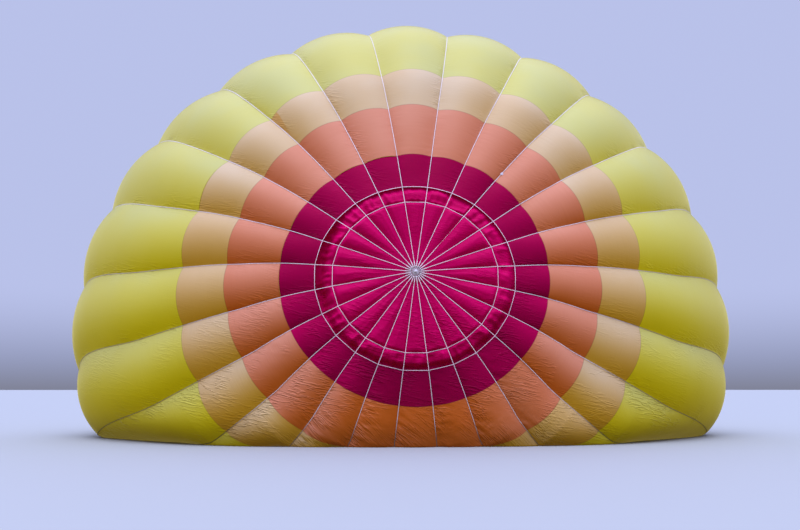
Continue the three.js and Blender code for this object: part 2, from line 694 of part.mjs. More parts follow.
const BAR_END = GIMBAL_RADIUS - GIMBAL_TUBE - 4;
const blockDepth = FRAME_DEPTH + CAN_BACK + FIT + BLOCK_SIZE[1] / 2;
const YOKE_WIDTH = 40;
const YOKE_THICK = 30;
const YOKE_REACH = 305;            // middle of the yoke's arm ends, from the axis
const ARM_THICK = 24;
const burnerPieces = [
  box(...BLOCK_SIZE, [0, blockDepth, AXIS_HEIGHT]),
];
for (const side of [-1, 1]) {
  const armHeight = AXIS_HEIGHT + side * YOKE_REACH;
  burnerPieces.push(
    box(YOKE_WIDTH, YOKE_THICK, YOKE_REACH + ARM_THICK / 2, [0, blockDepth, (AXIS_HEIGHT + armHeight + side * ARM_THICK / 2) / 2]),
    box(YOKE_WIDTH, blockDepth - FRAME_DEPTH + 35, ARM_THICK, [0, (blockDepth + FRAME_DEPTH) / 2, armHeight]),
    rod([0, FRAME_DEPTH, armHeight], [0, FRAME_DEPTH, AXIS_HEIGHT + side * BAR_END], PIN_RADIUS, 16),
  );
}
add('burner_block', join(burnerPieces), 'steel');

const canProfile = [
  [0, 0],
  [CAN_RADIUS, 0],
  [CAN_RADIUS, CAN_LENGTH],
  [CAN_RADIUS - CAN_WALL, CAN_LENGTH],
  [CAN_RADIUS - CAN_WALL, CAN_WALL],
  [0, CAN_WALL],
].map(([r, y]) => new THREE.Vector2(r, y));
['right', 'left'].forEach((name, i) => {
  const x = (i === 0 ? 1 : -1) * (CAN_SPACING / 2);
  const can = new THREE.LatheGeometry(canProfile, 32);
  can.rotateX(Math.PI).translate(x, FRAME_DEPTH + CAN_BACK, AXIS_HEIGHT);
  add(`burner_can_${name}`, can, 'steel');
  const valveFront = blockDepth + BLOCK_SIZE[1] / 2 + FIT;
  const valve = join([
    box(...VALVE_SIZE, [x * 0.6, valveFront + VALVE_SIZE[1] / 2, AXIS_HEIGHT]),
    box(24, 26, 150, [x * 0.6, valveFront + VALVE_SIZE[1] - 2, AXIS_HEIGHT - 40]),
  ]);
  add(`blast_valve_${name}`, valve, 'brass');
});

// Basket

function roundedRect(halfX, halfZ, radius) {
  const shape = new THREE.Shape();
  shape.moveTo(halfX - radius, -halfZ);
  shape.absarc(halfX - radius, -halfZ + radius, radius, -Math.PI / 2, 0);
  shape.absarc(halfX - radius, halfZ - radius, radius, 0, Math.PI / 2);
  shape.absarc(-halfX + radius, halfZ - radius, radius, Math.PI / 2, Math.PI);
  shape.absarc(-halfX + radius, -halfZ + radius, radius, Math.PI, (3 * Math.PI) / 2);
  shape.closePath();
  return shape;
}

// Frame section of rounded corners, from depth front to back
function tubWall(halfX, halfZ, radius, thick, front, back) {
  const shape = roundedRect(halfX, halfZ, radius);
  if (thick) shape.holes.push(roundedRect(halfX - thick, halfZ - thick, radius - thick));
  const geometry = new THREE.ExtrudeGeometry(shape, { depth: back - front, bevelEnabled: false, curveSegments: 4 });
  return geometry.rotateX(-Math.PI / 2).translate(0, front, AXIS_HEIGHT);
}

const wallEnd = BASKET_BACK - FLOOR_THICK - FIT;
add('basket_walls', tubWall(BASKET_HALF_X, BASKET_HALF_Z, BASKET_CORNER, BASKET_WALL, BASKET_FRONT, wallEnd), 'wicker');
add('basket_floor', tubWall(BASKET_HALF_X, BASKET_HALF_Z, BASKET_CORNER, 0, BASKET_BACK - FLOOR_THICK, BASKET_BACK), 'wood');

const rimPoints = roundedRect(BASKET_HALF_X - 28, AXIS_HEIGHT - RIM_RADIUS, BASKET_CORNER - 15)
  .getPoints(4)
  .slice(0, -1)
  .map((p) => [p.x, AXIS_HEIGHT + p.y]);
add('basket_rim', loopTube(rimPoints, RIM_RADIUS, 12, BASKET_FRONT - RIM_RADIUS - FIT), 'leather');

const hideFront = BASKET_BACK - FLOOR_THICK - HIDE_HEIGHT;
const hide = tubWall(
  BASKET_HALF_X + FIT + HIDE_THICK,
  BASKET_HALF_Z + FIT + HIDE_THICK,
  BASKET_CORNER + FIT + HIDE_THICK,
  HIDE_THICK,
  hideFront,
  BASKET_BACK,
);
add('basket_hide', hide, 'leather');

for (const [name, z] of [['top', 380], ['middle', 0], ['bottom', -380]]) {
  const runner = box(2 * BASKET_HALF_X - 2 * BASKET_CORNER, SKID_THICK, SKID_WIDTH, [0, BASKET_BACK + FIT + SKID_THICK / 2, AXIS_HEIGHT + z]);
  add(`basket_runner_${name}`, runner, 'wood');
}

// Uprights between the basket's rim and the burner frame
const uprightFrom = FRAME_DEPTH + CORNER_BLOCK / 2 + FIT;
const uprightTo = BASKET_FRONT - 2 * RIM_RADIUS - 2 * FIT;
for (const corner of CORNERS) {
  const { x, z } = corner;
  add(`upright_${corner.name}`, rod([x, uprightFrom, z], [x, uprightTo, z], UPRIGHT_RADIUS), 'black');
}

// Gas cylinders standing on the basket's floor
const bottleProfile = [
  [0, 0],
  [BOTTLE_RADIUS - 25, 0],
  [BOTTLE_RADIUS, 25],
  [BOTTLE_RADIUS, BOTTLE_LENGTH - 150],
  [BOTTLE_RADIUS - 14, BOTTLE_LENGTH - 112],
  [COLLAR_RADIUS, COLLAR_FOOT],
  [COLLAR_RADIUS, BOTTLE_LENGTH],
  [COLLAR_RADIUS - COLLAR_THICK, BOTTLE_LENGTH],
  [COLLAR_RADIUS - COLLAR_THICK, COLLAR_FOOT],
  [STEM_RADIUS, COLLAR_FOOT],
  [STEM_RADIUS, HANDWHEEL_FOOT],
  [HANDWHEEL_RADIUS, HANDWHEEL_FOOT],
  [HANDWHEEL_RADIUS, HANDWHEEL_FOOT + HANDWHEEL_THICK],
  [0, HANDWHEEL_FOOT + HANDWHEEL_THICK],
].map(([r, y]) => new THREE.Vector2(r, y));
const bottleX = BASKET_HALF_X - BASKET_WALL - FIT - BOTTLE_RADIUS;
const bottleZ = BASKET_HALF_Z - BASKET_WALL - FIT - BOTTLE_RADIUS;
for (const corner of CORNERS) {
  const bottle = new THREE.LatheGeometry(bottleProfile, 20);
  const x = Math.sign(corner.x) * bottleX;
  const z = AXIS_HEIGHT + Math.sign(corner.z - AXIS_HEIGHT) * bottleZ;
  bottle.rotateX(Math.PI).translate(x, BASKET_BACK - FLOOR_THICK - FIT, z);
  add(`gas_cylinder_${corner.name}`, bottle, 'jacket');
}

// The origin lies on the ground under the middle of the whole balloon's length
const extent = new THREE.Box3().setFromObject(balloon);
balloon.position.y = -(extent.min.y + extent.max.y) / 2;

export default balloon;
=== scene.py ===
"""Hot air balloon lying on its side on the ground while cold air fills it.

Metres, in the frame that the part's source packs to: +X is right as seen from the crown, +Y runs
from the crown to the basket, +Z is up and z = 0 is the ground. The crown faces the camera.
"""

import math

import bpy
import numpy as np
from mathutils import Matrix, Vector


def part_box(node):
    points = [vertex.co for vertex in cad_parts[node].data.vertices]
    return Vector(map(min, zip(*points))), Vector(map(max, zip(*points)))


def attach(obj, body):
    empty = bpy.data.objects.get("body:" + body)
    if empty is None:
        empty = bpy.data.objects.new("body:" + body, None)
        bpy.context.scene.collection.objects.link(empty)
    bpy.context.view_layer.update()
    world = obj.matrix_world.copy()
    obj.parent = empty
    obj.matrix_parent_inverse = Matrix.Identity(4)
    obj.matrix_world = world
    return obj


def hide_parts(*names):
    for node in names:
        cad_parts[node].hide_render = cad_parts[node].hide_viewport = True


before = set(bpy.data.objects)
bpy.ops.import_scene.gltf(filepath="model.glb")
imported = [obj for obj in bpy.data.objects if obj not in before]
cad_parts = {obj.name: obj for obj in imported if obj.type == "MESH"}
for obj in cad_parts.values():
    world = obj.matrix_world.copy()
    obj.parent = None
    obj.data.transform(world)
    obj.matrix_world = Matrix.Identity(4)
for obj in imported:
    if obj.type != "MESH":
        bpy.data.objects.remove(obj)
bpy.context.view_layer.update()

# Camera
CAMERA_PLACE = (-1.387, -31.681, 1.6)
CAMERA_YAW = 0.044          # radians towards +X
CAMERA_PITCH = 0.1512       # radians upwards
SENSOR = 36.0               # width in millimetres
LENS = 36.0                 # focal length in millimetres
FAR = 1000.0

camera_data = bpy.data.cameras.new("camera")
camera_data.sensor_width = SENSOR
camera_data.lens = LENS
camera_data.clip_end = FAR
camera = bpy.data.objects.new("camera", camera_data)
camera.location = CAMERA_PLACE
camera.rotation_euler = (math.pi / 2 + CAMERA_PITCH, 0.0, -CAMERA_YAW)
bpy.context.scene.collection.objects.link(camera)
bpy.context.scene.camera = camera
bpy.context.scene.view_settings.view_transform = "Standard"

# Envelope, the same sections as in the part's source
SHIFT = -9.969255           # from y measured from the crown to y of the frame
GORES = 24
CROWN = 4.73                # height of the crown
MOUTH = 26.3                # where the tapes end
SECTION_NAMES = ("along", "width", "height", "centre", "depth", "lean", "bulge")
SECTIONS = np.array([
    (0.0, 0.0, 0.0, CROWN, 0.0, 0.045, 0.0),
    (0.6, 0.608, 0.56, 4.705, 0.005, 0.045, 0.005),
    (2.28, 2.305, 2.12, 4.615, 0.07, 0.045, 0.03),
    (2.76, 2.775, 2.57, 4.605, 0.127, 0.047, 0.05),
    (3.77, 3.75, 3.545, 4.62, 0.27, 0.053, 0.07),
    (5.38, 5.26, 5.13, 4.615, 0.64, 0.06, 0.095),
    (6.81, 6.585, 6.52, 4.445, 1.06, 0.06, 0.11),
    (9.7, 8.675, 8.795, 4.195, 2.43, 0.075, 0.125),
    (12.6, 10.6, 9.755, 3.93, 4.69, 0.07, 0.125),
    (14.4, 10.95, 9.65, 2.825, 6.38, 0.055, 0.13),
    (16.8, 10.1, 8.7, 2.65, 8.55, 0.03, 0.14),
    (19.5, 8.35, 7.1, 2.5, 10.8, 0.01, 0.14),
    (22.3, 6.1, 5.15, 2.3, 12.8, 0.0, 0.13),
    (24.6, 4.2, 3.55, 2.08, 14.3, 0.0, 0.1),
    (26.3, 2.9, 2.4, 1.85, 15.4, 0.0, 0.0),
])
VENT_RING = 2.28            # this and the next nine are distances from the crown along a tape
VENT_EDGE = 2.76
PANEL_EDGE = 2.96
CRIMSON_END = 3.77
ORANGE_END = 5.38
PEACH_END = 6.81
FRONT_END = 12.6
REAR_END = 24.6
SLIDE_FROM = 2.28
SLIDE_FULL = 9.0
SLIDE = 0.18                # share of the half loop that sagging tapes slide down
SEAM_BOW = 0.06             # a colour seam runs this much farther in the middle of a gore
LOOP_STEPS = 240            # steps round half a section


def smooth(low, high, x):
    """0 below low, 1 above high and an even S between."""
    u = np.clip((x - low) / (high - low), 0, 1)
    return u * u * (3 - 2 * u)


def plateau(rise, fall, x):
    """Rises from 0 to 1 between the two values of rise, and falls back between the two of fall."""
    return smooth(*rise, x) * (1 - smooth(*fall, x))


def section(along):
    """Ellipse, depth, lean and bulge at each distance: a smooth curve through each column.

    Between two rows the value is a cubic that has each row's central slope at its end.
    """
    rows = SECTIONS[:, 0]
    last = len(rows) - 1
    i = np.clip(np.searchsorted(rows, along, side="right") - 1, 0, last - 1)
    span = rows[i + 1] - rows[i]
    u = (along - rows[i]) / span
    low = np.maximum(np.arange(last + 1) - 1, 0)
    high = np.minimum(np.arange(last + 1) + 1, last)
    found = {}
    for name, values in zip(SECTION_NAMES[1:], SECTIONS.T[1:]):
        slope = (values[high] - values[low]) / (rows[high] - rows[low])
        found[name] = (
            (2 * u**3 - 3 * u**2 + 1) * values[i]
            + (3 * u**2 - 2 * u**3) * values[i + 1]
            + ((u**3 - 2 * u**2 + u) * slope[i] + (u**3 - u**2) * slope[i + 1]) * span
        )
    return found


def tape_points(along):
    """Places of the 24 tapes, one row for each distance along them.

    Each section is an ellipse cut off at the ground and closed by a flat floor. The tapes share
    out its length evenly, then slide down by SLIDE times share times (1 - share).
    """
    s = section(along)
    on_ground = s["height"] > s["centre"]
    flat = np.clip(s["centre"] / np.maximum(s["height"], 1e-9), -1, 1)
    end = np.where(on_ground, np.pi - np.arccos(flat), np.pi)
    angle = end[:, None] * np.linspace(0, 1, LOOP_STEPS + 1)
    x = s["width"][:, None] * np.sin(angle)
    z = s["centre"][:, None] + s["height"][:, None] * np.cos(angle)
    x = np.column_stack([x, np.where(on_ground, 0, x[:, -1])])
    z = np.column_stack([z, np.where(on_ground, 0, z[:, -1])])
    steps = np.hypot(np.diff(x, axis=1), np.diff(z, axis=1))
    length = np.column_stack([np.zeros(len(x)), np.cumsum(steps, axis=1)])
    even = (np.arange(GORES // 2) + 0.5) / (GORES // 2)
    grown = np.clip((along - SLIDE_FROM) / (SLIDE_FULL - SLIDE_FROM), 0, 1)[:, None]
    target = length[:, -1:] * (even + grown * SLIDE * even * (1 - even))
    after = (length[:, :, None] < target[:, None, :]).sum(axis=1).clip(1, LOOP_STEPS + 1)
    before_length = np.take_along_axis(length, after - 1, axis=1)
    step = np.take_along_axis(length, after, axis=1) - before_length
    share = (target - before_length) / np.maximum(step, 1e-9)

    def between(values):
        start = np.take_along_axis(values, after - 1, axis=1)
        return start + share * (np.take_along_axis(values, after, axis=1) - start)

    right_x, right_z = between(x), between(z)
    across = np.column_stack([right_x, -right_x[:, ::-1]])
    height = np.column_stack([right_z, right_z[:, ::-1]])
    depth = s["depth"][:, None] + s["lean"][:, None] * (height - CROWN) + SHIFT
    return np.stack([across, depth, height], axis=-1)


TAPE_STEP = 0.02
TAPE_ALONG = np.arange(0, MOUTH + TAPE_STEP / 2, TAPE_STEP)
EASE = 0.5                  # spread of the bell window that evens out the tapes' runs
EASE_ROWS = 80              # rows of the window on each side of its middle
EASE_IN = 1.2               # length over which the evening begins and ends


def evened(points):
    """Tape points with their runs between PEACH_END and REAR_END averaged in a bell window."""
    window = np.exp(-0.5 * (np.arange(-EASE_ROWS, EASE_ROWS + 1) * TAPE_STEP / EASE) ** 2)
    window /= window.sum()
    padded = np.pad(points, ((EASE_ROWS, EASE_ROWS), (0, 0), (0, 0)), mode="edge")
    even = np.zeros_like(points)
    for k, share in enumerate(window):
        even += share * padded[k:k + len(points)]
    there = plateau((PEACH_END, PEACH_END + EASE_IN), (REAR_END - EASE_IN, REAR_END), TAPE_ALONG)
    return points + (even - points) * there[:, None, None]


TAPES = evened(tape_points(TAPE_ALONG))
BULGES = section(TAPE_ALONG)["bulge"]


def on_tape(tape, along):
    """Points of the numbered tapes at these distances, read between rows of TAPES."""
    place = np.clip(along / TAPE_STEP, 0, len(TAPE_ALONG) - 1.001)
    low = place.astype(int)
    share = (place - low)[..., None]
    return TAPES[low, tape % GORES] * (1 - share) + TAPES[low + 1, tape % GORES] * share


def unit(vectors):
    """The vectors divided by their lengths."""
    return vectors / np.maximum(np.linalg.norm(vectors, axis=-1, keepdims=True), 1e-12)


def gore_of(across):
    """The number of the gore that a place lies in, and its share of the way over that gore."""
    gore = np.floor(across + 1e-9)
    return gore, across - gore


def arch(t):
    """A parabola over a gore: 0 at both tapes and 1 midway."""
    return 4 * t * (1 - t)


HALF_RUN = 0.04             # a tape's direction is taken this far ahead and behind


def gore_surface(across, along):
    """Point, outward normal and gore width. across counts gores, whole numbers are tapes.

    Between its two tapes a gore is an arc of a circle that rises by bulge times their distance.
    """
    gore, t = gore_of(across)
    gore = gore.astype(int)
    first, second = on_tape(gore - 1, along), on_tape(gore, along)
    chord = second - first
    size = np.linalg.norm(chord, axis=-1)
    ahead = on_tape(gore - 1, along + HALF_RUN) + on_tape(gore, along + HALF_RUN)
    behind = on_tape(gore - 1, along - HALF_RUN) + on_tape(gore, along - HALF_RUN)
    outward = unit(np.cross(chord, ahead - behind))
    rise = np.maximum(size * np.interp(along, TAPE_ALONG, BULGES), 1e-6)
    radius = (size**2 / 4 + rise**2) / (2 * rise)
    side = size * (t - 0.5)
    lift = np.sqrt(np.maximum(radius**2 - side**2, 0)) - (radius - rise)
    point = first + chord * t[..., None] + outward * lift[..., None]
    lean = np.clip(side / radius, -0.95, 0.95)[..., None]
    normal = unit(outward * np.sqrt(1 - lean**2) + unit(chord) * lean)
    return point, normal, size


# Random fields with fixed seeds
FIELD = 256                 # values to a side before a field repeats


def cloud(u, v, seed):
    """Smooth random values from -1 to 1, one independent value at each whole number of u and v."""
    values = np.random.RandomState(seed).uniform(-1, 1, (FIELD, FIELD))
    i, j = np.floor(u).astype(int), np.floor(v).astype(int)
    a, b = u - i, v - j
    a, b = a * a * (3 - 2 * a), b * b * (3 - 2 * b)
    i, j = i % FIELD, j % FIELD
    next_i, next_j = (i + 1) % FIELD, (j + 1) % FIELD
    near = values[i, j] * (1 - a) + values[next_i, j] * a
    far = values[i, next_j] * (1 - a) + values[next_i, next_j] * a
    return near * (1 - b) + far * b


def creases(u, v, seed):
    """Fine folds that run along u: sharp ridges where a random field crosses zero."""
    field = cloud(u, v, seed) + 0.5 * cloud(u * 1.9, v * 2.1, seed + 1)
    return 1 - 2 * np.minimum(np.abs(field) * 1.6, 1)


# Slack cloth. A gore's share is 0 at the top of the envelope and 1 on the ground
QUARTERS = {"top": (-3, 3), "right": (4, 8), "ground": (9, 15), "left": (16, 20)}
SLOPE = math.radians(12)        # of the folds on low gores
STEEP_SLOPE = math.radians(42)  # of those by the ground
GROUND_SHARES = (0.78, 0.92)    # from the lowest side gore to the ground gores
GROUND_HEIGHTS = (0.5, 1.3)     # folds are steep below the first height
GROUND_REACH = (2.8, 4.6)       # and within the first distance of the middle
GORE_SHEEN = 0.45                    # most painted sky sheen that a low side gore has beyond the others
GORE_SHIFT = 7.31               # keeps the random fields of two gores apart

# Heights of the folds over the smooth gore
FINE = 0.0028
BROAD = 0.004
BROAD_LOW = 0.003               # added to BROAD on low gores
SWELL = 0.020
HUNG = 0.010
GROUND_HUNG = 0.020
PUFF = 0.034                    # a share of the gore's width
PUFF_RISE = (2.8, 4.2)          # distances from the crown between which gores begin to puff out
PUFF_FALL = (7.5, 11.0)
SEWN = 0.05                     # cloth lies flat within about this distance of a tape


def around_share(across):
    """0 at the top gore and 1 at the ground gore, the same on both sides."""
    turn = np.mod(across - 0.5, GORES)
    return np.minimum(turn, GORES - turn) / (GORES / 2)


def tape_distances(across, size):
    """Distances to the tape above a point and to the one below it.

    On the ground gores the tape to the left counts as the one above.
    """
    gore, t = gore_of(across)
    right = np.mod(gore, GORES) <= QUARTERS["right"][1]
    return np.where(right, t, 1 - t) * size, np.where(right, 1 - t, t) * size


def slackness(across, size):
    """How slack the cloth is, from 0 to about 1: the sum of two exponential curves.

    The first falls away below the upper tape, from 0.15 over 0.14 m on high gores to 0.9 over
    0.64 m on low ones. The second falls away above the lower tape over 0.16 m.
    """
    above, below = tape_distances(across, size)
    share = around_share(across)
    low = smooth(0.42, 0.8, share) * (1 - 0.4 * smooth(*GROUND_SHARES, share))
    under = (0.15 + 0.75 * low) * np.exp(-above / (0.14 + 0.5 * low))
    over = (0.5 - 0.25 * low) * np.exp(-below / 0.16)
    return 0.1 * low + under + over


def gore_sheen_of(across):
    """Extra painted sky sheen on the low side gores: at its most below the upper tape, less than half of that
    by the lower.
    """
    low = plateau((0.4, 0.65), GROUND_SHARES, around_share(across))
    return GORE_SHEEN * low * (1 - 0.55 * smooth(0.0, 1.0, tape_distances(across, 1.0)[0]))


def drag_lines(point, slope, length, apart, shift, seed):
    """Folds that run down to the right at this slope in radians, about this long and this far apart."""
    run = point[..., 0] * math.cos(slope) - point[..., 2] * math.sin(slope)
    rise = point[..., 0] * math.sin(slope) + point[..., 2] * math.cos(slope)
    return creases(run / length + shift, rise / apart + shift, seed)


def wrinkles(across, along, point, size):
    """Height of the cloth's folds over the smooth gore: six fields added up.

    FINE creases run across high gores and fade away from the tapes. BROAD waves and a slow SWELL are
    everywhere. Low gores carry less air: HUNG folds drag down to the right from their upper tape, in
    patches, and GROUND_HUNG ones do so more steeply by the ground. Gores by the crown PUFF out in an
    arch. All fade out beside the tapes and at the crown.
    """
    gore, t = gore_of(across)
    edge = np.minimum(t, 1 - t) * size
    above = tape_distances(across, size)[0]
    low = smooth(0.35, 0.8, around_share(across))
    near = np.exp(-edge / 0.22)
    hung = np.exp(-above / (0.12 + 0.26 * low))
    shift = gore * GORE_SHIFT
    fine = creases(across * 1.3 + shift, along / 0.13 + shift, 11)
    broad = cloud(across * 1.3 + shift, along / 0.42 + shift, 23)
    slow = cloud(across * 0.9 + shift, along / 1.9, 31)
    patchy = smooth(-0.35, 0.55, cloud(point[..., 0] / 1.1 + shift, along / 0.9, 47))
    drag = drag_lines(point, SLOPE, 0.42, 0.16, shift, 41)
    steep = drag_lines(point, STEEP_SLOPE, 0.6, 0.14, shift, 43)
    ground = 1 - smooth(*GROUND_HEIGHTS, point[..., 2])
    ground *= 1 - smooth(*GROUND_REACH, np.abs(point[..., 0]))
    height = FINE * (1 - 0.9 * low) * near * fine
    height += (BROAD + BROAD_LOW * low) * (0.25 + 0.75 * near) * broad
    height += SWELL * slow
    height += HUNG * low * hung * patchy * drag
    height += GROUND_HUNG * low * ground * (0.06 + 0.94 * hung) * steep
    height += PUFF * size * arch(t) * plateau(PUFF_RISE, PUFF_FALL, along)
    return height * (1 - np.exp(-edge / SEWN)) * smooth(0.0, 1.2, along)


# Meshes
def mesh_object(name, points, faces, smooth_faces=True):
    """A mesh object at the origin from arrays of points and faces."""
    mesh = bpy.data.meshes.new(name)
    mesh.from_pydata(np.asarray(points, float).reshape(-1, 3), [], np.asarray(faces).tolist())
    mesh.update()
    mesh.polygons.foreach_set("use_smooth", np.full(len(mesh.polygons), smooth_faces))
    obj = bpy.data.objects.new(name, mesh)
    bpy.context.scene.collection.objects.link(obj)
    return obj


def grid_faces(rows, columns, closed_rows=False, closed_columns=False, first=0):
    """Quads of a grid whose point (r, c) has number first + r * columns + c."""
    r = np.arange(rows if closed_rows else rows - 1)
    c = np.arange(columns if closed_columns else columns - 1)
    r, c = np.meshgrid(r, c, indexing="ij")
    r2, c2 = (r + 1) % rows, (c + 1) % columns
    quads = np.stack([r * columns + c, r * columns + c2, r2 * columns + c2, r2 * columns + c], axis=-1)
    return quads.reshape(-1, 4) + first


def set_uv(obj, u, v):
    """UV map "cloth" from one u and one v for each vertex."""
    mesh = obj.data
    corner = np.empty(len(mesh.loops), dtype=np.int32)
    mesh.loops.foreach_get("vertex_index", corner)
    both = np.stack([np.ravel(u)[corner], np.ravel(v)[corner]], axis=-1)
    mesh.uv_layers.new(name="cloth").data.foreach_set("uv", both.astype(np.float32).ravel())


def set_attribute(obj, name, values):
    """One number for each vertex, for the material to read."""
    numbers = obj.data.attributes.new(name, "FLOAT", "POINT")
    numbers.data.foreach_set("value", np.ravel(values).astype(np.float32))


def dress(obj, material, body="balloon", replaced=()):
    """Gives a piece its material and its body, and hides the nodes that it stands for."""
    obj.data.materials.clear()
    obj.data.materials.append(material)
    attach(obj, body)
    if replaced:
        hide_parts(*replaced)
    return obj


# Materials
def linear(code):
    """A hex sRGB colour as linear RGBA."""
    parts = [int(code[i:i + 2], 16) / 255 for i in (1, 3, 5)]
    return [p / 12.92 if p <= 0.04045 else ((p + 0.055) / 1.055) ** 2.4 for p in parts] + [1.0]


# Short names of nodes: the node, its settings, the inputs that values feed in turn, the output used
NODES = {
    "mix": ("Mix", {"data_type": "RGBA"}, (0, 6, 7), 2),
    "mix values": ("Mix", {"data_type": "FLOAT"}, (0, 2, 3), 0),
    "range": ("MapRange", {"interpolation_type": "SMOOTHSTEP"}, (0, 1, 2, 3, 4), 0),
    "noise": ("TexNoise", {}, ("Vector", "Scale", "Detail", "Roughness"), 0),
    "stretch": ("Mapping", {}, ("Vector", "Scale"), 0),
    "bump": ("Bump", {}, ("Strength", "Distance", "Height"), 0),
    "place": ("TexCoord", {}, (), "Object"),
    "direction": ("TexCoord", {}, (), "Generated"),
    "normal": ("NewGeometry", {}, (), "Normal"),
    "attribute": ("Attribute", {}, (), "Fac"),
    "cloth": ("UVMap", {"uv_map": "cloth"}, (), 0),
    "split": ("SeparateXYZ", {}, (0,), None),
    "surface": ("OutputMaterial", {}, (0,), None),
    "surroundings": ("OutputWorld", {}, (0,), None),
}
ARITHMETIC = {"times": "MULTIPLY", "plus": "ADD", "minus": "SUBTRACT", "larger": "MAXIMUM",
              "absolute": "ABSOLUTE", "sine": "SINE", "floor": "FLOOR", "fraction": "FRACT"}
for word, operation in ARITHMETIC.items():
    NODES[word] = ("Math", {"operation": operation}, (0, 1), 0)


def add(tree, kind, *values, inputs=None, **settings):
    """Adds a node with its settings and links, and gives its output, or all outputs where NODES
    names none.

    kind is a short name from NODES, or Blender's name. Each of the values, and of the inputs by
    name, is a number, a vector, a hex colour or the socket that feeds it.
    A range runs from its 2nd..3rd value to its 4th..5th, 0 to 1 unless given, smoothly and clamped.
    A mix gives its 2nd value at share 0 and its 3rd at share 1.
    """
    node, fixed, order, used = NODES.get(kind, (kind, {}, (), 0))
    item = tree.nodes.new("ShaderNode" + node)
    for key, value in {**fixed, **settings}.items():
        setattr(item, key, value)
    for key, value in [*zip(order or range(len(values)), values), *(inputs or {}).items()]:
        if isinstance(value, bpy.types.NodeSocket):
            tree.links.new(value, item.inputs[key])
        else:
            item.inputs[key].default_value = linear(value) if isinstance(value, str) else value
    return item.outputs if used is None else item.outputs[used]


def new_material(name):
    """A material with no nodes, and its node tree."""
    material = bpy.data.materials.new(name)
    material.use_nodes = True
    material.node_tree.nodes.clear()
    return material, material.node_tree


FOLD_SIZE = (0.7, 0.7, 0.085)       # length, depth and distance of folds drawn as bump


def folds(tree, place, slope):
    """Sharp thin ridges that run down to the right at this slope in radians."""
    level = add(tree, "Mapping", vector_type="TEXTURE",
                inputs={"Vector": place, "Rotation": (0.0, slope, 0.0), "Scale": FOLD_SIZE})
    wander = add(tree, "noise", level, 1.0, 1.6, 0.5)
    off_middle = add(tree, "absolute", add(tree, "minus", wander, 0.5))
    return add(tree, "range", off_middle, 0.0, 0.075, 1.0, 0.0)


SEAM_LINES = (CRIMSON_END, ORANGE_END, PEACH_END, REAR_END)
SEAM_HALF = 0.014           # half the width of a felled seam
SKY_SHEEN_FACING = 0.9         # painted sky sheen on cloth that faces straight up
SKY_SHEEN_RISE = 0.06          # and its growth with each metre of height
SKY_SHEEN_RANGE = (-0.15, 1.1)  # from the low colour to the high one
STEEP_HEIGHTS = (0.5, 1.2)  # bump's folds are steep below the first height
PANEL_GRAIN = 0.35          # this and the next three are patterns a metre: shades from panel to panel
DUST_GRAIN = 2.2
GROUP_GRAIN = 1.1           # patches in which the folds lie
CRUMPLE_GRAIN = 1.6         # on cloth squeezed to CRUMPLE_SQUEEZE
CRUMPLE_SQUEEZE = (1.2, 9.0, 1.0)
SEAM_DARK_AND_SHADE = "#3a2618"           # cloth darkens towards this in its dark felled seams, and as painted shade beside the tapes and by the ground
DUST = "#6a4a1c"


